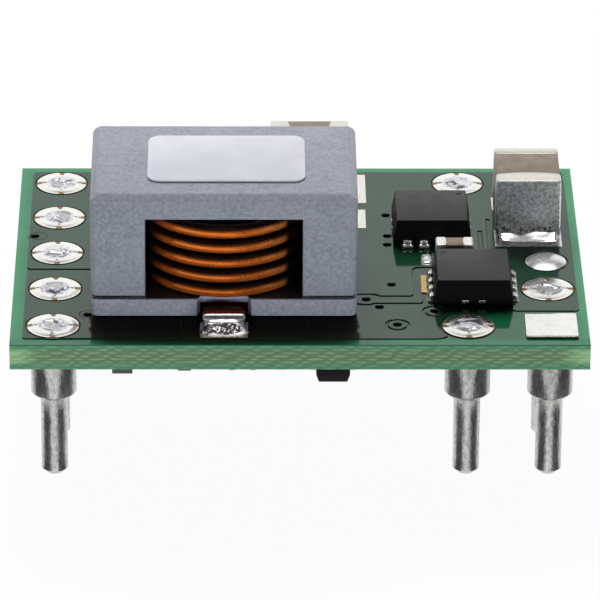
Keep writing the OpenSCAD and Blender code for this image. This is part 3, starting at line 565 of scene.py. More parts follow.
finishes = {
    "board": boardFinish(),
    "pour": pourFinish(),
    "pin": pinFinish(),
    "solder": tinFinish("brightSolder", **tinLook["solder"]),
    "joint": jointFinish(),
    "pad": padFinish(),
    "dome": tinFinish("domeSolder", **tinLook["dome"]),
    "land": tinFinish("tinnedLand", **tinLook["land"]),
    "end": endFinish(),
    "smallEnd": tinFinish("platedSmallEnd", **tinLook["smallEnd"]),
    "dullEnd": tinFinish("dulledEnd", **tinLook["dullEnd"]),
    "lead": tinFinish("tinnedLead", **tinLook["lead"]),
    "flash": goldFinish("goldFlash", (0.40, 0.225, 0.105)),
    "gold": goldFinish("bareGold", (0.86, 0.60, 0.20)),
    "ferrite": ferriteFinish(),
    "copper": copperFinish(),
    "mould": mouldFinish(),
    "ceramic": ceramicFinish("chipCeramic", deep=(0.196, 0.148, 0.103), pale=(0.260, 0.206, 0.149)),
    "smallCeramic": ceramicFinish("smallChipCeramic", deep=(0.212, 0.151, 0.088), pale=(0.268, 0.201, 0.125)),
    "paper": paperFinish(),
    "shim": darkFinish("gapFilm", (0.006, 0.006, 0.006)),
    "bond": darkFinish("curedBond", (0.020, 0.010, 0.007)),
    "glaze": darkFinish("resistorGlaze", (0.010, 0.010, 0.012), rough=0.35),
    "print": darkFinish("printedMark", (0.012, 0.013, 0.020), rough=0.5),
    # painted shade: near black rims at the mask's edge round lands and lone vias
    "rim": darkFinish("maskRim", (0.004, 0.011, 0.007), rough=0.45),
}
slots = {  # slot of the record: the finishes in it
    "board": "board pour rim", "tinned_pin": "pin", "solder": "solder joint pad dome", "tinned_land": "land",
    "tinned_end": "end smallEnd dullEnd", "tinned_lead": "lead", "bare_land": "flash", "gold_land": "gold",
    "ferrite": "ferrite", "enamelled_copper": "copper", "mould_compound": "mould print",
    "chip_ceramic": "ceramic smallCeramic", "label": "paper", "shim": "shim", "bond": "bond",
    "resistor_glaze": "glaze",
}
slotOf = {finish: slot for slot, names in slots.items() for finish in names.split()}
print("finishes made:", len(finishes))


# mesh helpers, in millimetres until the end
def link(name, data):
    thing = bpy.data.objects.new(name, data)
    bpy.context.scene.collection.objects.link(thing)
    return thing


def piece(name, mesh, finish, *stands, smooth=35.0):
    mesh.name = name
    mesh.materials.clear()
    mesh.materials.append(finishes[finish])
    for p in mesh.polygons:
        p.use_smooth, p.material_index = True, 0
    mesh.set_sharp_from_angle(angle=math.radians(smooth))
    thing = link(name, mesh)
    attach(thing, root)
    if stands:
        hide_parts(*stands)


def toMesh(*parts):
    joined = bmesh.new()
    for bm in parts:
        one = bpy.data.meshes.new("part")
        bm.to_mesh(one)
        bm.free()
        joined.from_mesh(one)
        bpy.data.meshes.remove(one)
    bmesh.ops.scale(joined, vec=(mm, mm, mm), verts=joined.verts)
    mesh = bpy.data.meshes.new("made")
    joined.to_mesh(mesh)
    joined.free()
    return mesh


def plainMesh(thing):  # bakes modifiers into a mesh and drops the carrier
    bpy.context.view_layer.update()
    mesh = bpy.data.meshes.new_from_object(thing.evaluated_get(bpy.context.evaluated_depsgraph_get()))
    bpy.data.objects.remove(thing)
    return mesh


def softened(node, width, segments=3, angle=28.0):  # a CAD solid with its edges broken
    bm = bmesh.new()
    bm.from_mesh(nodes[node].data)
    bmesh.ops.remove_doubles(bm, verts=bm.verts, dist=1e-8)
    bmesh.ops.dissolve_limit(bm, angle_limit=math.radians(1.0), verts=bm.verts, edges=bm.edges)
    mesh = bpy.data.meshes.new("soft")
    bm.to_mesh(mesh)
    bm.free()
    thing = link("soft", mesh)
    rounder = thing.modifiers.new("round", "BEVEL")
    rounder.width, rounder.segments, rounder.limit_method = width * mm, segments, "ANGLE"
    rounder.angle_limit = math.radians(angle)
    return plainMesh(thing)


class Grower(Plan):  # a geometry node tree with named sizes
    def __init__(self, name, sizes):
        super().__init__(bpy.data.node_groups.new(name, "GeometryNodeTree"))
        face = self.tree.interface
        for way in ("INPUT", "OUTPUT"):
            face.new_socket("Geometry", in_out=way, socket_type="NodeSocketGeometry")
        self.sizes, self.ids = sizes, {}
        for key, value in sizes.items():
            kind = "NodeSocketInt" if isinstance(value, int) else "NodeSocketFloat"
            self.ids[key] = face.new_socket(key, in_out="INPUT", socket_type=kind).identifier
        self.source = self.make("NodeGroupInput")

    def size(self, key):
        return Wire(self.tree, self.source.socket.node.outputs[key])

    def position(self):
        return self.make("GeometryNodeInputPosition")

    def held(self, key, kind):
        return self.make("GeometryNodeInputNamedAttribute", {"data_type": kind}, {"Name": key})

    def sampled(self, kind, value, index):  # a value of the carrier's points
        how = {"Geometry": self.source, "Value": value, "Index": index}
        return self.make("GeometryNodeSampleIndex", {"data_type": kind}, how)

    def grid(self, across, along):
        counts = {"Vertices X": self.size(across), "Vertices Y": self.size(along)}
        return self.make("GeometryNodeMeshGrid", None, {"Size X": 1.0, "Size Y": 1.0, **counts})

    def moved(self, geometry, **how):
        return self.make("GeometryNodeSetPosition", None, {"Geometry": geometry, **how})

    def resized(self, geometry, x, y, z):
        return self.make("GeometryNodeTransform", None, {"Geometry": geometry, "Scale": self.join(x, y, z)})

    def merged(self, geometry):
        return self.make("GeometryNodeMergeByDistance", None, {"Geometry": geometry, "Distance": 0.0005})

    def spread(self, shape, **how):  # one on each point of the carrier
        what = {"Points": self.source, "Instance": shape, **how}
        return self.make("GeometryNodeInstanceOnPoints", None, what)

    def realized(self, geometry):
        return self.make("GeometryNodeRealizeInstances", None, {0: geometry})

    def close(self, geometry, finish):
        dressed = {"Geometry": self.realized(geometry), "Material": finishes[finish]}
        self.make("NodeGroupOutput", None, {0: self.make("GeometryNodeSetMaterial", None, dressed)})

    def grow(self, carrier, changes=None):  # carrier mesh in millimetres; gives a plain mesh in metres
        thing = link("carrier", carrier)
        grower = thing.modifiers.new("grow", "NODES")
        grower.node_group = self.tree
        for key, value in {**self.sizes, **(changes or {})}.items():
            grower[self.ids[key]] = value
        mesh = plainMesh(thing)
        mesh.transform(Matrix.Scale(mm, 4))
        return mesh


def pointCloud(points, **attributes):
    mesh = bpy.data.meshes.new("points")
    mesh.from_pydata([tuple(p) for p in points], [], [])
    for key, values in attributes.items():
        vectors = hasattr(values[0], "__len__")
        layer = mesh.attributes.new(key, "FLOAT_VECTOR" if vectors else "FLOAT", "POINT")
        for spot, value in zip(layer.data, values):
            setattr(spot, "vector" if vectors else "value", value)
    return mesh


def roundedLoop(corners, radius, steps=5):  # polygon with its corners turned round
    loop = []
    for i, corner in enumerate(corners):
        c = Vector(corner)
        a, b = Vector(corners[i - 1]) - c, Vector(corners[(i + 1) % len(corners)]) - c
        r = min(radius, a.length * 0.45, b.length * 0.45)
        start, end = c + a.normalized() * r, c + b.normalized() * r
        for k in range(steps + 1):
            t = k / steps
            loop.append(start * (1 - t) ** 2 + c * 2 * t * (1 - t) + end * t ** 2)
    return loop


def circleLoop(x, y, r, steps=48):
    angles = [2 * math.pi * k / steps for k in range(steps)]
    return [Vector((x + r * math.cos(a), y + r * math.sin(a))) for a in angles]


def sheetOf(loops, low, high, lip):  # flat outline with holes, given a thickness and a soft lip
    curve = bpy.data.curves.new("outline", "CURVE")
    curve.dimensions, curve.fill_mode = "2D", "BOTH"
    curve.extrude, curve.offset = (high - low) / 2 - lip, -lip
    curve.bevel_depth, curve.bevel_resolution = lip, 1
    for loop in loops:
        line = curve.splines.new("POLY")
        line.points.add(len(loop) - 1)
        for spot, p in zip(line.points, loop):
            spot.co = (p.x, p.y, 0.0, 1.0)
        line.use_cyclic_u = True
    mesh = plainMesh(link("outline", curve))
    bm = bmesh.new()
    bm.from_mesh(mesh)
    bmesh.ops.remove_doubles(bm, verts=bm.verts, dist=1e-5)
    bmesh.ops.translate(bm, vec=(0, 0, (low + high) / 2), verts=bm.verts)
    return bm


def mound(rule, across, along):  # closed lump from a rule that places each point of a grid
    bm = bmesh.new()
    rows = []
    for j in range(along + 1):
        rows.append([bm.verts.new(rule(2 * i / across - 1, j / along)) for i in range(across + 1)])
    for low, high in zip(rows, rows[1:]):
        for i in range(across):
            bm.faces.new((low[i], low[i + 1], high[i + 1], high[i]))
    rim = rows[0] + [r[-1] for r in rows[1:]] + rows[-1][-2::-1] + [r[0] for r in rows[-2:0:-1]]
    floorRim = [bm.verts.new((v.co.x, v.co.y, 0.0)) for v in rim]
    for i in range(len(rim)):
        n = (i + 1) % len(rim)
        bm.faces.new((rim[n], rim[i], floorRim[i], floorRim[n]))
    bm.faces.new(floorRim)
    bmesh.ops.remove_doubles(bm, verts=bm.verts, dist=1e-5)
    bmesh.ops.recalc_face_normals(bm, faces=bm.faces)
    return bm


def placed(bm, spot, turn=0.0):
    matrix = Matrix.Translation(spot) @ Matrix.Rotation(math.radians(turn), 4, "Z")
    bmesh.ops.transform(bm, matrix=matrix, verts=bm.verts)
    return bm


# CAD solids that keep their shape and only get a finish
kept = {
    "circuit_board": "board", "pin_lands": "flash", "spare_land": "flash", "spare_land_solder": "dome",
    "top_lands": "land", "bare_land": "gold", "inductor_shims": "shim", "inductor_bond": "bond",
    "underside_lands": "land", "controller_pads": "lead", "trio_package_leads": "lead",
    **{f"pin_{i}": "pin" for i in range(1, 11)},
}
for name, finish in kept.items():
    nodes[name].data.materials.clear()
    nodes[name].data.materials.append(finishes[finish])

# solids with broken edges: name, node, finish, edge width
rounded = [
    ("coreTop", "inductor_core", "ferrite", 0.07),
    ("corePlate", "inductor_base", "ferrite", 0.07),
    ("coreLabel", "inductor_label", "paper", 0.02),
    ("frontPackage", "front_mosfet_body", "mould", 0.035),
    ("rearPackage", "rear_mosfet_body", "mould", 0.035),
    ("frontLeads", "front_mosfet_leads", "lead", 0.05),
    ("rearLeads", "rear_mosfet_leads", "lead", 0.05),
    ("controllerPackage", "controller_body", "mould", 0.04),
    ("trioPackage", "trio_package_body", "mould", 0.04),
    ("underCeramics", "underside_capacitor_bodies", "ceramic", 0.03),
    # the ends under the board get a finish painted dark, a painted shade
    ("underCapEnds", "underside_capacitor_ends", "dullEnd", 0.03),
    ("underGlazes", "underside_resistor_bodies", "glaze", 0.02),
    ("underResistorEnds", "underside_resistor_ends", "dullEnd", 0.02),
]
for name, node, finish, width in rounded:
    piece(name, softened(node, width), finish, node)
print("rounded solids:", len(rounded))

# copper areas under the mask: outlines in millimetres from the board centre, with holes round lands and vias
copper = {
    "sunk": 0.01, "rise": 0.042, "lip": 0.026, "round": 0.16, "landGap": 1.06, "spareGap": 0.87,
    "viaHole": 0.165, "islandHole": 0.47, "island": 0.37, "slitRound": 0.05, "leadRound": 0.1,
}
vias = [
    (3.5, 3.42), (3.53, 1.53), (3.51, 0.75), (3.59, -2.78), (2.58, -4.07), (3.08, -4.73), (3.73, -6.23),
    (5.19, -5.07), (-10.35, 1.5), (-8.12, -5.4), (-5.5, 5.6), (-5.5, 4.6), (-4.5, 5.6), (-4.5, 4.6),
]
ringed = [(3.73, -6.23), (5.19, -5.07)]  # vias on small islands of their own
padTurns = [math.radians(d) for d in (228, 214, 200, 186, 172, 158, 146)]
padArc = [(6.445 + 1.12 * math.cos(a), -6.35 + 1.12 * math.sin(a)) for a in padTurns]
pours = {
    "leftBack": [(-10.58, 7.45), (-2.0, 7.45), (-2.0, -1.38), (-10.58, -1.38)],
    "leftFront": [(-10.58, -1.5), (-4.6, -1.5), (-4.6, -7.4), (-10.58, -7.4)],
    "underCore": [(-4.48, -1.5), (0.28, -1.5), (0.28, -7.4), (-4.48, -7.4)],
    "back": [
        (-1.88, 7.45), (10.72, 7.45), (10.76, -5.02), (8.2, -5.02), (8.2, -1.2), (4.62, -1.2), (4.42, -1.4),
        (4.42, -3.72), (3.1, -3.72), (2.92, -3.56), (2.24, -3.56), (2.06, -3.68), (0.4, -3.68), (0.4, -1.38),
        (-1.88, -1.38),
    ],
    "frontRight": [
        (0.4, -7.4), (5.3, -7.4), *padArc, (5.78, -5.3), (5.82, -4.72), (5.0, -4.46), (2.9, -4.46),
        (2.76, -4.57), (2.3, -4.57), (2.1, -4.48), (0.4, -4.48),
    ],
    "trace": [
        (0.4, -3.8), (2.06, -3.8), (2.28, -3.68), (2.58, -3.66), (2.88, -3.68), (3.1, -3.84), (4.78, -3.84),
        (4.78, -4.34), (2.9, -4.34), (2.74, -4.45), (2.42, -4.45), (2.1, -4.36), (0.4, -4.36),
    ],
}
slits = [
    [(7.11, 0.2), (7.26, 0.2), (7.26, 2.05), (7.11, 2.05)],
    [(7.47, 0.2), (7.62, 0.2), (7.62, 3.1), (7.47, 3.1)],
]
leadOpening = [(-3.92, -7.3), (-1.88, -7.3), (-1.88, -6.05), (-3.92, -6.05)]


def isInside(corners, x, y):
    hits = 0
    for (ax, ay), (bx, by) in zip(corners, corners[1:] + corners[:1]):
        if (ay > y) != (by > y) and x < ax + (y - ay) / (by - ay) * (bx - ax):
            hits += 1
    return hits % 2


def copperSheet(loops):
    return sheetOf(loops, top - copper["sunk"], top + copper["rise"], copper["lip"])


def copperAreas():
    holes = [(p.x, p.y, copper["landGap"], 48) for p in pins[:9]]
    holes.append((spare.x, spare.y, copper["spareGap"], 48))
    for spot in vias:
        holes.append((*spot, copper["islandHole"] if spot in ringed else copper["viaHole"], 24))
    sheets = []
    for name, corners in pours.items():
        loops = [roundedLoop(corners, copper["round"])]
        if name == "back":
            loops += [roundedLoop(s, copper["slitRound"], 3) for s in slits]
        loops += [circleLoop(*hole) for hole in holes if isInside(corners, *hole[:2])]
        if name == "underCore":
            loops.append(roundedLoop(leadOpening, copper["leadRound"]))
        sheets.append(copperSheet(loops))
    for x, y in ringed:
        island, hole = circleLoop(x, y, copper["island"]), circleLoop(x, y, copper["viaHole"], 24)
        sheets.append(copperSheet([island, hole]))
    piece("copperAreas", toMesh(*sheets), "pour", smooth=12)


copperAreas()

# flat beads round holes and lands: copper round each via, and near black rims round lone vias and lands,
# painted shade at the mask's edge
ringSizes = {"radius": 0.215, "bead": 0.055, "squash": 0.35}
loneShadeRims = {"radius": 0.33, "bead": 0.034, "squash": 0.36}
landShadeRims = {"radius": 1.022, "bead": 0.024, "squash": 0.4}
ringLevels = {"via": 0.024, "lone": 0.036, "land": 0.004}
lone = [(-10.22, 1.52), (-8.12, -5.36)]  # round the vias that stand alone


def viaRings():
    g = Grower("viaRings", ringSizes)
    circle, section = (
        g.make("GeometryNodeCurvePrimitiveCircle", None, {"Resolution": steps, "Radius": g.size(key)})
        for key, steps in (("radius", 48), ("bead", 8))
    )
    ring = g.make("GeometryNodeCurveToMesh", None, {0: circle, 1: section})
    g.close(g.spread(g.resized(ring, 1.0, 1.0, g.size("squash"))), "pour")
    lands = [(p.x, p.y) for p in pins[:9]]
    for name, spots, level, sizes, finish in (
        ("viaRings", vias, "via", ringSizes, "pour"),
        ("viaShadeRims", lone, "lone", loneShadeRims, "rim"),
        ("maskEdgeShades", lands, "land", landShadeRims, "rim"),
    ):
        cloud = pointCloud([(x, y, top + ringLevels[level]) for x, y in spots])
        piece(name, g.grow(cloud, sizes), finish, smooth=180)


viaRings()
print("copper and vias laid")

# solder on the pin lands: a flat pad with a bare notch at each quarter and a rippled pool over the pin end
padSizes = {
    "radius": 0.995, "notch": 0.22, "notchAngle": 0.13, "crown": 0.032, "fill": 0.050, "pool": 0.58,
    "ripple": 0.55, "lip": 0.28, "around": 129, "rings": 81,
}
padRipple = {"scale": 1.35, "detail": 1.5, "rough": 0.4, "warp": 0.5, "least": -0.042, "most": 0.045}
squarePad = {"half": 0.998, "wear": 0.14, "round": 0.14, "sunk": 0.03, "rise": 0.05, "lip": 0.02}


def roundPads():
    g = Grower("padSolder", padSizes)
    x, y, _ = g.split(g.position())
    angle, run = (x + 0.5) * (2 * math.pi), (y + 0.5) * 2.0
    out = run.atMost(2.0 - run)  # 0 at the middle, 1 at the rim, then back underneath
    quarter = abs((angle / (math.pi / 2) + 0.5).fraction() - 0.5) * (math.pi / 2)
    rim = g.size("radius") - g.size("notch") * g.span(quarter / g.size("notchAngle"), 1.0, 0.25)
    reach = (out * g.size("radius")).atMost(rim)
    dish = g.size("fill") + (g.size("crown") - g.size("fill")) * g.span(reach, 0.12, 0.76)
    height = dish * g.span(rim - reach, 0.0, g.size("lip")) * run.below(1.0)
    outline = g.join(reach * angle.cosine(), reach * angle.sine(), height)
    whole = g.realized(g.spread(g.merged(g.moved(g.grid("around", "rings"), Position=outline))))
    place = g.position()
    ripple = g.noiseAt(place, *(padRipple[k] for k in ("scale", "detail", "rough", "warp")))
    near = g.make("GeometryNodeSampleNearest", None, {"Geometry": g.source})
    fromPin = g.vector("SUBTRACT", place, g.sampled("FLOAT_VECTOR", g.position(), near))
    fromPin = g.vector("MULTIPLY", fromPin, (1.0, 1.0, 0.0))
    away = g.make("ShaderNodeVectorMath", {"operation": "LENGTH"}, {0: fromPin}, "Value") / g.size("pool")
    upper = (g.split(place)[2] - (seat + 0.004)).above(0.0)
    swell = ((ripple - 0.5) * g.size("ripple")).atLeast(padRipple["least"]).atMost(padRipple["most"])
    lift = g.span(away, 1.05, 0.55) * upper * swell
    stored = {"Geometry": whole, "Name": "pool", "Value": g.span(away, 1.12, 0.92) * upper}
    whole = g.make("GeometryNodeStoreNamedAttribute", {"data_type": "FLOAT", "domain": "POINT"}, stored)
    g.close(g.moved(whole, Offset=g.join(0.0, 0.0, lift)), "pad")
    return g.grow(pointCloud([(p.x, p.y, seat) for p in pins[:9]]))


def padSolder():
    pin, half = pins[9], squarePad["half"]
    corners = [(pin.x + a * half, pin.y + b * half) for a, b in ((-1, -1), (1, -1), (1, 1), (-1, 1))]
    loop = roundedLoop(corners, squarePad["round"])
    rounds = roundPads()
    square = toMesh(sheetOf([loop], seat - squarePad["sunk"], seat + squarePad["rise"], squarePad["lip"]))
    worn = square.attributes.new("pool", "FLOAT", "POINT")
    worn.data.foreach_set("value", [squarePad["wear"]] * len(worn.data))
    bm = bmesh.new()
    bm.from_mesh(rounds)
    bm.from_mesh(square)
    joined = bpy.data.meshes.new("padSolder")
    bm.to_mesh(joined)
    bm.free()
    piece("padSolder", joined, "pad", "pin_solder", smooth=40)


padSolder()
print("pin lands soldered")

# winding: flat foot, groove under the plate, five turns that step up at the back, then the rear lead
coil = {
    "radius": 3.1, "wire": 0.55, "pitch": 0.62, "turns": 5, "start": 50.0, "finish": 130.0, "clear": 0.025,
    "leadWidth": 1.62, "leadThick": 0.24, "groove": 0.215, "turnAt": 0.36, "toe": 0.85, "toeRise": 0.20,
    "toeKnee": 0.14, "dropKnee": 0.3, "back": 1.1, "backKnee": 0.35, "footKnee": 0.4, "stepAngle": 5,
    "footFlat": 0.4, "sides": 24, "square": 0.62,
}


def ease(t):
    t = min(1.0, max(0.0, t))
    return t * t * (3 - 2 * t)


def mix(a, b, t):
    return a * (1 - t) + b * t


def bend(p, q, s, t):  # from p to s, drawn towards q
    return p * (1 - t) ** 2 + q * 2 * t * (1 - t) + s * t * t


def sideOf(along):
    return Vector((along.y, -along.x, 0)).normalized()


def onTurn(degrees, z):
    a = math.radians(degrees)
    return Vector((coil["radius"] * math.cos(a), coil["radius"] * math.sin(a), z))


def upBy(z):
    return Vector((0, 0, z))


def windingRoute():
    half = (coreBack - coreFront) / 2
    plateHigh = boxMm("inductor_base")[1].z
    r, flatHalf, wideHalf = coil["wire"] / 2, coil["leadThick"] / 2, coil["leadWidth"] / 2
    first = plateHigh + coil["clear"] + r
    last = first + (coil["turns"] - 1) * coil["pitch"]
    grooveZ, footZ = plateHigh - coil["groove"] - r, seat + flatHalf
    ex = Vector((1, 0, 0))
    route = []  # centre, across, half width, half thickness, flatness

    def lay(centre, across=ex, wide=r, thick=r, flat=0.0):
        route.append((centre, across, wide, thick, flat))

    # the flat lead: up from its land, over a knee and back into the groove
    turnY, toeY = -half * 2 * coil["turnAt"], -half - coil["toe"]
    levelZ, knee = grooveZ + coil["toeRise"], coil["toeKnee"]
    for k in range(5):
        lay(Vector((0, toeY, mix(seat + 0.03, levelZ - knee, k / 5))), ex, wideHalf, flatHalf, 1.0)
    corner = Vector((0, toeY, levelZ))
    for k in range(9):
        centre = bend(corner - upBy(knee), corner, corner + Vector((0, knee, 0)), k / 8)
        lay(centre, ex, wideHalf, flatHalf, 1.0)
    for k in range(1, 15):
        t = k / 14
        centre = Vector((0, mix(toeY + knee, turnY - 0.3, t), mix(levelZ, grooveZ, ease(t * 2))))
        lay(centre, ex, wideHalf, mix(flatHalf, r * 0.6, ease(t - 0.3)), 1.0 - 0.5 * ease(t))
    # it turns round in the groove and rises to the first turn
    drop, turn, knee = onTurn(coil["start"] + 7, 0), Vector((0, turnY, 0)), coil["dropKnee"]
    along = (drop - turn).normalized()
    across = sideOf(along)
    for k in range(1, 12):
        t = k / 13
        thin, veer = ease(t * 1.2), ease(t * 2)
        centre = turn + upBy(grooveZ) + along * t * ((drop - turn).length - knee)
        wide, thick = mix(wideHalf, r, thin), mix(r * 0.6, r, thin)
        lay(centre, mix(ex, across, veer), wide, thick, 0.5 * (1 - thin))
    deep = drop + upBy(grooveZ)
    for k in range(9):
        lay(bend(deep - along * knee, deep, deep + upBy(knee), k / 8), across)
    begin, inward = onTurn(coil["start"], first), -onTurn(coil["start"], 0).normalized()
    for k in range(1, 8):
        lay(bend(drop + upBy(first - 0.33), drop + upBy(first), begin, k / 8), inward)
    # level turns that step up at the back
    step = coil["stepAngle"]
    for k in range(int((360 * coil["turns"] - coil["finish"] + coil["start"]) / step) + 1):
        a = coil["start"] - step * k
        lap = math.floor((coil["start"] - 60 - a + 360) / 360)
        z = max(first, first + coil["pitch"] * (lap - 1 + ease((120 - (a + 360 * lap)) / 60)))
        lay(onTurn(a, z), -onTurn(a, 0).normalized())
    # the rear lead leaves over the back and ends in a flattened foot
    begin, rearX = onTurn(coil["finish"], last), jointSizes["rearX"]
    leave = Vector((math.sin(math.radians(coil["finish"])), -math.cos(math.radians(coil["finish"])), 0))
    corner = begin + leave * (rearX - begin.x) / leave.x
    back, fall, foot = half + coil["back"], coil["backKnee"], coil["footKnee"]
    out, peak, toe = (Vector((rearX, y, z)) for y, z in ((back - fall, last), (back, last), (back, footZ)))
    for k in range(1, 13):
        p, q = bend(begin, corner, out, k / 12), bend(begin, corner, out, k / 12 - 0.05)
        lay(p, sideOf(p - q))
    for k in range(1, 9):
        lay(bend(out, peak, peak - upBy(fall), k / 8))
    for k in range(1, 9):
        lay(mix(peak - upBy(fall), toe + upBy(foot), k / 9))
    for k in range(9):
        t = ease(k / 8)
        centre = bend(toe + upBy(foot), toe, toe + Vector((0, foot, 0)), k / 8)
        lay(centre, ex, r, mix(r, flatHalf, t), coil["footFlat"] * t)
    lay(Vector((rearX, half + jointSizes["rearStart"], footZ)), ex, r, flatHalf, coil["footFlat"])
    shift = Vector((coreMiddle, (coreFront + coreBack) / 2, 0))
    return [(centre + shift, *rest) for centre, *rest in route]


def winding():
    route = windingRoute()
    tip, tail = ((s[0], s[1], 0.0, 0.0, s[4]) for s in (route[0], route[-1]))
    route = [tip, *route, tail]
    centres, acrosses, wides, thicks, flats = zip(*route)
    levels, ups = [], []
    for i, across in enumerate(acrosses):
        along = (centres[min(i + 2, len(route) - 1)] - centres[max(i - 2, 0)]).normalized()
        levels.append((across - along * across.dot(along)).normalized())
        ups.append(along.cross(levels[-1]))
    carrier = pointCloud(centres, across=levels, up=ups, wide=wides, thick=thicks, flat=flats)
    g = Grower("windingSweep", {"stations": len(route), "sides": coil["sides"] + 1})
    x, y, _ = g.split(g.position())
    at = ((x + 0.5) * (g.size("stations") - 1.0) + 0.5).floor()
    angle = (y + 0.5) * (2 * math.pi)
    flat, wide, thick = (g.sampled("FLOAT", g.held(k, "FLOAT"), at) for k in ("flat", "wide", "thick"))
    across, up = (g.sampled("FLOAT_VECTOR", g.held(k, "FLOAT_VECTOR"), at) for k in ("across", "up"))
    centre = g.sampled("FLOAT_VECTOR", g.position(), at)
    power = 1.0 - flat * coil["square"]
    c, s = angle.cosine(), angle.sine()
    reach = wide * (abs(c) ** power) * c.sign()
    lift = thick * (abs(s) ** power) * s.sign()
    place = g.vector("ADD", centre, g.vector("ADD", g.scaled(across, reach), g.scaled(up, lift)))
    g.close(g.merged(g.moved(g.grid("stations", "sides"), Position=place)), "copper")
    mesh = g.grow(carrier)
    bm = bmesh.new()
    bm.from_mesh(mesh)
    bmesh.ops.recalc_face_normals(bm, faces=bm.faces)
    bm.to_mesh(mesh)
    bm.free()
    piece("windingWire", mesh, "copper", "inductor_winding", smooth=60)


winding()
print("coil wound")


# lead joints at the inductor: a pillow with a rounded shoulder that falls to the land
def leadJoint(seed):
    def rule(u, v):
        x = u * jointSizes["half"] * (1 + jointSizes["flare"] * v * v)
        rim = max(0.0, 1 - abs(u) ** 5) ** 0.4
        down = max(0.0, v - jointSizes["shoulder"]) / (1 - jointSizes["shoulder"])
        lean = min(1.0, v / jointSizes["shoulder"]) * jointSizes["drop"]
        fall = (1 - lean) * max(0.0, 1 - down) ** 0.8
        z = jointSizes["height"] * rim * fall
        z += jointSizes["dent"] * noise.noise(Vector((x * 3.0, v * 3.0, seed))) * rim * fall
        return x, -v * jointSizes["length"] * (1 - jointSizes["tuck"] * abs(u) ** 4), max(0.0, z)
    return mound(rule, 44, 30)


def leadJoints():
    front = Vector((coreMiddle, coreFront - jointSizes["start"], seat))
    rear = Vector((coreMiddle + jointSizes["rearX"], coreBack + jointSizes["rearStart"], seat))
    joints = placed(leadJoint(1.3), front), placed(leadJoint(7.9), rear, 180)
    piece("leadJoints", toMesh(*joints), "joint", "inductor_solder", smooth=70)


leadJoints()

# chips: rounded end caps whose bands bow towards the middle, and a low solder toe against each
chipSkin = 0.022  # band thickness over the ceramic
usual = {"edge": 0.075, "corner": 0.12, "lean": 0.0, "end": "end", "body": "ceramic"}
chips = {  # half, toe and climb are the solder's width, reach and height
    "input_capacitor": {
        **usual, "axis": "y", "band": 0.64, "bow": 0.16, "half": 1.20, "toe": 0.44, "climb": 0.19,
        "lean": 0.22, "backBand": 0.72, "backBow": 0.1,
    },
    "output_capacitor": {
        **usual, "axis": "x", "band": 0.62, "bow": 0.15, "half": 1.20, "toe": 0.46, "climb": 0.20,
    },
    "second_capacitor": {
        **usual, "axis": "x", "band": 0.60, "bow": 0.12, "half": 0.78, "toe": 0.42, "climb": 0.20,
    },
    "bypass_capacitor": {
        "axis": "x", "band": 0.33, "bow": 0.04, "half": 0.36, "toe": 0.10, "climb": 0.16, "edge": 0.10,
        "corner": 0.10, "lean": 0.0, "end": "smallEnd", "body": "smallCeramic",
    },
}


def ringPoints(a, b, corner, steps=6, straight=8):  # rounded rectangle with normals and the bow at each point
    spots = []
    corners = [(a, b), (-a, b), (-a, -b), (a, -b)]
    for q, (cx, cz) in enumerate(corners):
        sx, sz = math.copysign(1, cx), math.copysign(1, cz)
        for k in range(steps + 1):
            turn = math.pi / 2 * (q + k / steps)
            n = Vector((math.cos(turn), math.sin(turn)))
            spots.append((Vector((cx - sx * corner, cz - sz * corner)) + n * corner, n))
        nx, nz = corners[(q + 1) % 4]
        endX = nx - math.copysign(corner, nx) * (q % 2 == 0)
        endZ = nz - math.copysign(corner, nz) * (q % 2 == 1)
        start, normal = spots[-1]
        spots += [(start.lerp(Vector((endX, endZ)), k / straight), normal) for k in range(1, straight)]

    def bow(p, n):
        return max(0.0, 1 - (p.x / a) ** 2) * abs(n.y) + max(0.0, 1 - (p.y / b) ** 2) * abs(n.x)
    return [(p, n, bow(p, n)) for p, n in spots]


def endCap(a, b, band, bow, edge, corner):  # end face at y = 0, band running to +y
    ring = ringPoints(a, b, corner)
    # sections of the band: inset, depth, bow
    sections = [(0.04, band + 0.07, bow), (0.0, band, bow), (0.0, (band + edge) / 2, 0.0)]
    for k in range(8):
        t = math.pi / 2 * k / 7
        sections.append((edge * (1 - math.cos(t)), edge * (1 - math.sin(t)), 0.0))
    bm = bmesh.new()
    rows = []
    for inset, depth, lean in sections:
        drawn = [(p.x - n.x * inset, depth + lean * f, p.y - n.y * inset) for p, n, f in ring]
        rows.append([bm.verts.new(spot) for spot in drawn])
    for share in (0.75, 0.45, 0.15):
        shrunk = [((p.x - n.x * edge) * share, (p.y - n.y * edge) * share) for p, n, f in ring]
        rows.append([bm.verts.new((x, 0.0, z)) for x, z in shrunk])
    for low, high in zip(rows, rows[1:]):
        for i in range(len(ring)):
            k = (i + 1) % len(ring)
            bm.faces.new((low[i], low[k], high[k], high[i]))
    bm.faces.new(rows[0])
    bm.faces.new(rows[-1])
    bmesh.ops.recalc_face_normals(bm, faces=bm.faces)
    return bm


def chipFillet(chip, seed):
    def rule(u, v):
        wave = noise.noise(Vector((u * 2.2, v * 1.5, seed)))
        end = max(0.0, 1 - abs(u) ** 6) ** 0.5
        rise = chip["climb"] * (1 + 0.7 * abs(u) ** 3) * (1 + chip["lean"] * u)
        z = rise * (1 - v) ** (1.1 + 0.25 * wave) * end * (1 + 0.25 * wave)
        least = 0.70 if chip["lean"] and u > 0 else 0.30  # a leaning toe keeps its reach on the right
        bulge = least + (1 - least) * max(0.0, 1 - u * u) ** 0.7
        return u * chip["half"] * (1 - 0.05 * v * v), -v * chip["toe"] * bulge, max(0.0, z if v < 1 else 0.0)
    return mound(rule, 48, 26)


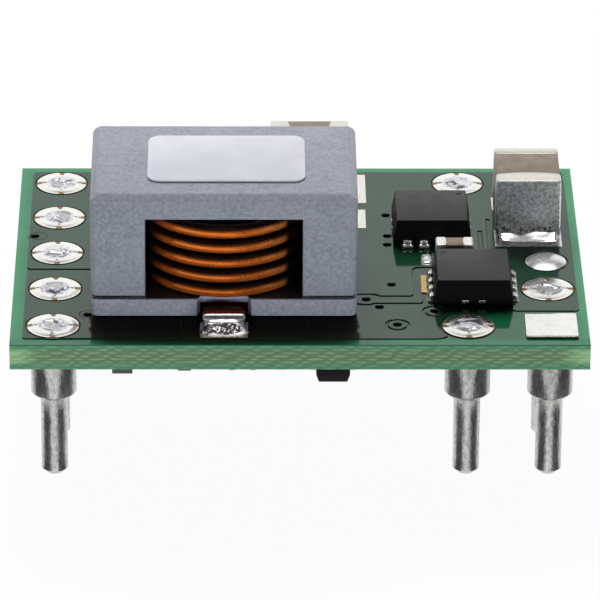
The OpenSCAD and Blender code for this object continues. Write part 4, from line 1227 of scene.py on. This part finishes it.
def ceramicBody(node, chip, mid, size):  # stays inside the end caps
    low, high = boxMm(f"{node}_body")
    grow = []
    for axis, reach, half in zip("xyz", size, (high - low) / 2):
        grow.append((reach - (chip["edge"] + chipSkin if axis == chip["axis"] else chipSkin)) / half)
    body = softened(f"{node}_body", 0.08)
    there, back = Matrix.Translation(mid * mm), Matrix.Translation(-mid * mm)
    body.transform(there @ Matrix.Diagonal((*grow, 1.0)) @ back)
    return body


def buildChips():
    for order, (node, chip) in enumerate(chips.items()):
        low, high = boxMm(f"{node}_ends")
        mid, size = (low + high) / 2, (high - low) / 2
        if chip["axis"] == "y":
            a, spots = size.x, [(mid.x, low.y, 0), (mid.x, high.y, 180)]
        else:
            a, spots = size.y, [(high.x, mid.y, 90), (low.x, mid.y, 270)]
        short = node.split("_")[0]
        piece(f"{short}Ceramic", ceramicBody(node, chip, mid, size), chip["body"], f"{node}_body")
        caps, toes = [], []
        for s, (x, y, turn) in enumerate(spots):
            band = chip["band"] * (chip.get("backBand", 1.0) if s else 1.0)
            bow = chip["bow"] * (chip.get("backBow", 1.0) if s else 1.0)
            cap = endCap(a, size.z, band, bow, chip["edge"], chip["corner"])
            caps.append(placed(cap, Vector((x, y, mid.z)), turn))
            toes.append(placed(chipFillet(chip, order * 5.1 + s * 2.3), Vector((x, y, seat)), turn))
        piece(f"{short}Ends", toMesh(*caps), chip["end"], f"{node}_ends", smooth=50)
        piece(f"{short}Fillets", toMesh(*toes), "solder", f"{node}_solder", smooth=70)


buildChips()

# solder on the power packages' leads: a small bar-shaped bead over each lead tip
beadSizes = {"along": 0.175, "out": 0.10, "up": 0.15, "dent": 0.06}
rearBeads = {"along": 0.10, "out": 0.11, "up": 0.11}
beadPlaces = {"pitch": 0.65, "level": 0.06, "pair": 0.13, "rearOut": 0.3}


def leadBeads():
    g = Grower("leadBeads", beadSizes)
    ball = g.make("GeometryNodeMeshIcoSphere", None, {"Radius": 1.0, "Subdivisions": 3})
    ball = g.resized(ball, g.size("out"), g.size("along"), g.size("up"))
    whole = g.realized(g.spread(ball, Rotation=g.join(0.0, 0.0, g.held("quarter", "FLOAT"))))
    dent = (g.noiseAt(g.position(), 4.0, 1.0) - 0.5) * g.size("dent")
    g.close(g.moved(whole, Offset=g.join(0.0, 0.0, dent)), "solder")
    rows = (-1.5, -0.5, 0.5, 1.5)
    for node, turned in (("front_mosfet", False), ("rear_mosfet", True)):
        low, high = boxMm(f"{node}_leads")
        mid, size = (low + high) / 2, high - low
        reach = (size.y + beadPlaces["rearOut"] if turned else size.x) / 2
        pair = (-beadPlaces["pair"], beadPlaces["pair"]) if turned else (0.0,)
        spots = []
        for side, row, aside in ((s, k, h) for s in (-1, 1) for k in rows for h in pair):
            along, across = side * reach, row * beadPlaces["pitch"] + aside
            x, y = (across, along) if turned else (along, across)
            spots.append((mid.x + x, mid.y + y, seat + beadPlaces["level"]))
        cloud = pointCloud(spots, quarter=[math.pi / 2 if turned else 0.0] * len(spots))
        beads = g.grow(cloud, rearBeads if turned else None)
        piece(f"{node.split('_')[0]}LeadBeads", beads, "solder", f"{node}_solder", smooth=180)


leadBeads()

# a bead on the bare land beside the front package
spareBead = {"half": 0.21, "long": 0.40, "height": 0.13, "dent": 0.3, "inX": 0.05, "inY": 0.13}


def landBead():
    def rule(u, v):
        w = 2 * v - 1
        dome = max(0.0, 1 - abs(u) ** 3 - abs(w) ** 3) ** 0.5
        dent = 1 + spareBead["dent"] * noise.noise(Vector((u * 1.5, w * 1.5, 4.4)))
        return u * spareBead["half"], w * spareBead["long"], spareBead["height"] * dome * dent
    x = boxMm("front_mosfet_leads")[0].x - spareBead["inX"]
    y = middle("bypass_capacitor_body").y - spareBead["inY"]
    piece("landBead", toMesh(placed(mound(rule, 20, 28), Vector((x, y, seat)))), "dome", smooth=70)


landBead()
print("joints soldered")

# a small printed dot beside the first lead of each power package
dot = {"radius": 0.13, "inset": 0.42, "sunk": 0.01, "rise": 0.006, "lip": 0.002}


def pinDots():
    marks = []
    for node, dx, dy in (("front_mosfet_body", -1, 1), ("rear_mosfet_body", 1, 1)):
        low, high = boxMm(node)
        mid = (low + high) / 2
        reach = (high.x - low.x) / 2 - dot["inset"]
        loop = circleLoop(mid.x + dx * reach, mid.y + dy * reach, dot["radius"], 32)
        marks.append(sheetOf([loop], high.z - dot["sunk"], high.z + dot["rise"], dot["lip"]))
    piece("pinDots", toMesh(*marks), "print", smooth=30)


pinDots()

# stage: camera from the photo's view, pale floor, soft light
view = {
    "focal": 354.153, "sensor": 36.0, "azimuth": -0.7217, "elevation": 26.454, "roll": 0.342,
    "place": (-2.538, -207.840, 101.411),  # from the board's top face
}


def placeCamera():
    az, el, roll = (math.radians(view[k]) for k in ("azimuth", "elevation", "roll"))
    back = Vector((math.sin(az) * math.cos(el), -math.cos(az) * math.cos(el), math.sin(el)))
    right = (-back).cross(Vector((0, 0, 1))).normalized()
    up = right.cross(-back)
    turnedRight = right * math.cos(roll) + up * math.sin(roll)
    turnedUp = -right * math.sin(roll) + up * math.cos(roll)
    lens = bpy.data.cameras.new("camera")
    lens.lens, lens.sensor_width = view["focal"], view["sensor"]
    lens.clip_start, lens.clip_end = 0.01, 10.0
    camera = link("camera", lens)
    spot = (Vector(view["place"]) + upBy(top)) * mm
    camera.matrix_world = Matrix((*zip(turnedRight, turnedUp, back, spot), (0, 0, 0, 1)))
    bpy.context.scene.camera = camera


lamps = {  # name: place in mm, aim in mm, width, depth, watts, colour, what it lights
    "rear": ((-10, 265, 265), (0, 0, 6), 150, 150, 1.58, (1.0, 1.0, 1.0), "body"),
    "overhead": ((0, 30, 340), (0, 0, 6), 300, 230, 0.60, (1.0, 1.0, 1.0), "gloss"),
    "frontStrip": ((40, -330, 3.2), (0, 0, 5), 420, 5, 0.54, (0.90, 0.94, 1.0), "body"),
}


def placeLamps():
    for name, (spot, aim, wide, deep, watts, shade, lights) in lamps.items():
        data = bpy.data.lights.new(name, "AREA")
        data.shape, data.size, data.size_y = "RECTANGLE", wide * mm, deep * mm
        data.energy, data.color = watts, shade
        aimed = (Vector(aim) - Vector(spot)).to_track_quat("-Z", "Y")
        lamp = link(name, data)
        lamp.matrix_world = Matrix.Translation(Vector(spot) * mm) @ aimed.to_matrix().to_4x4()
        lamp.visible_glossy, lamp.visible_diffuse = lights == "gloss", lights == "body"


def seenByRays(plan):
    ray = plan.make("ShaderNodeLightPath").socket.node
    return [Wire(plan.tree, ray.outputs[f"Is {k} Ray"]) for k in ("Camera", "Glossy", "Transmission")]


def bareLook(name):
    look = bpy.data.materials.new(name)
    look.use_nodes = True
    look.node_tree.nodes.clear()
    look.cycles.emission_sampling = "NONE"
    return look, Plan(look.node_tree)


roomLight = {"behind": 1.0, "front": 0.05, "fade": (0.22, 0.78)}
paleFloor = {"size": 600, "level": -0.002, "shade": (0.85, 0.85, 0.85), "seen": 0.96, "gloss": 0.90}


def placeFloor():
    bm = bmesh.new()
    bmesh.ops.create_grid(bm, x_segments=1, y_segments=1, size=paleFloor["size"])
    bmesh.ops.translate(bm, vec=(0, 0, paleFloor["level"]), verts=bm.verts)
    floor = link("paleFloor", toMesh(bm))
    look, p = bareLook("paleFloor")
    camera, glossy, through = seenByRays(p)
    matte = p.make("ShaderNodeBsdfDiffuse", None, {"Color": paleFloor["shade"]})
    glow = p.make("ShaderNodeEmission", None, {"Color": (1, 1, 1)})
    glowing = (camera.atLeast(through) * paleFloor["seen"]).atLeast(glossy * paleFloor["gloss"])
    both = p.make("ShaderNodeMixShader", None, {0: glowing, 1: matte, 2: glow})
    clear = p.make("ShaderNodeBsdfTransparent")  # open from below
    under = p.make("ShaderNodeNewGeometry", output="Backfacing")
    ending = p.make("ShaderNodeMixShader", None, {0: under, 1: both, 2: clear})
    p.make("ShaderNodeOutputMaterial", None, {0: ending})
    floor.data.materials.append(look)


# dark cards that only the metal sees
hood = {"radius": 900.0, "shade": 0.06, "sides": 0.45, "spread": (0.50, 0.85), "edge": (0.62, 0.80)}
pinCards = {
    "pins": (4, 6, 9), "radius": 1.6, "arc": (25.0, 88.0), "level": 0.095, "gap": (2.48, 2.92),
    "flare": 13.0, "steps": 12, "inner": 0.33, "foot": 0.004, "head": 0.05,
}
floorCard = {"x": (3.4, 70.0), "y": (-80.0, -18.0), "z": 0.01, "level": 0.03}


def flag(name, bm, level):
    card = link(name, toMesh(bm))
    look, p = bareLook(name)
    strength = level(p) if callable(level) else level
    glow = p.make("ShaderNodeEmission", None, {"Color": (1, 1, 1), "Strength": strength})
    p.make("ShaderNodeOutputMaterial", None, {0: glow})
    card.data.materials.append(look)
    card.visible_camera = card.visible_diffuse = card.visible_shadow = card.visible_transmission = False


def pinFlags():  # curved cards at both sides of three pins, open where the shoulder is
    bm = bmesh.new()
    low, high = (math.radians(d) for d in pinCards["arc"])
    lowGap, highGap = pinCards["gap"]
    foot, steps = pinCards["foot"], pinCards["steps"]
    profile = [  # share of the radius, height, flare
        (pinCards["inner"], foot, 0), (1, foot, 0), (1, lowGap, 0), (1, highGap, -1),
        (1, bottom - pinCards["head"], 1),
    ]
    for pin, side in ((pins[i], s) for i in pinCards["pins"] for s in (-1, 1)):
        columns = []
        for k in range(steps + 1):
            columns.append([])
            for share, z, flare in profile:
                start = low + math.radians(pinCards["flare"]) * flare
                a = side * (start + (high - start) * k / steps)
                x, y = math.sin(a) * pinCards["radius"] * share, math.cos(a) * pinCards["radius"] * share
                columns[-1].append(bm.verts.new((pin.x + x, pin.y - y, z)))
        for a, b in zip(columns, columns[1:]):
            for k in (0, 1, 3):
                bm.faces.new((a[k], b[k], b[k + 1], a[k + 1]))
    flag("pinFlags", bm, pinCards["level"])


def floorFlag():
    (left, right), (front, back) = floorCard["x"], floorCard["y"]
    bm = bmesh.new()
    corners = ((left, front), (right, front), (right, back), (left, back))
    bm.faces.new([bm.verts.new((x, y, floorCard["z"])) for x, y in corners])
    flag("floorFlag", bm, floorCard["level"])


def darkHood():
    bm = bmesh.new()
    bmesh.ops.create_uvsphere(bm, u_segments=64, v_segments=48, radius=hood["radius"])
    away = [v for v in bm.verts if v.co.z < -1.0 or v.co.y > hood["edge"][1] * hood["radius"]]
    bmesh.ops.delete(bm, geom=away, context="VERTS")

    def level(p):
        place = p.make("ShaderNodeTexCoord", output="Object")
        x, y, _ = p.split(p.scaled(place, 1000.0 / hood["radius"]))
        around = p.span(abs(x), *hood["spread"], hood["shade"], hood["sides"])
        return p.span(y, *hood["edge"], 0.0, roomLight["behind"]).atLeast(around)
    flag("darkHood", bm, level)


def lightRoom():
    room = bpy.data.worlds.new("room")
    bpy.context.scene.world = room
    room.use_nodes = True
    room.node_tree.nodes.clear()
    p = Plan(room.node_tree)
    camera, glossy, through = seenByRays(p)
    seen = camera.atLeast(glossy).atLeast(through)
    y = p.split(p.make("ShaderNodeTexCoord", output="Generated"))[1]
    level = p.span(y, *roomLight["fade"], roomLight["front"], roomLight["behind"])  # darker in front
    sky = p.make("ShaderNodeBackground", None, {"Color": (1, 1, 1), "Strength": seen + level * (1 - seen)})
    p.make("ShaderNodeOutputWorld", None, {0: sky})


for setUp in (placeCamera, placeLamps, placeFloor, pinFlags, floorFlag, darkHood, lightRoom):
    setUp()
bpy.context.scene.view_settings.view_transform = "Standard"
print("stage set")

bpy.context.view_layer.update()
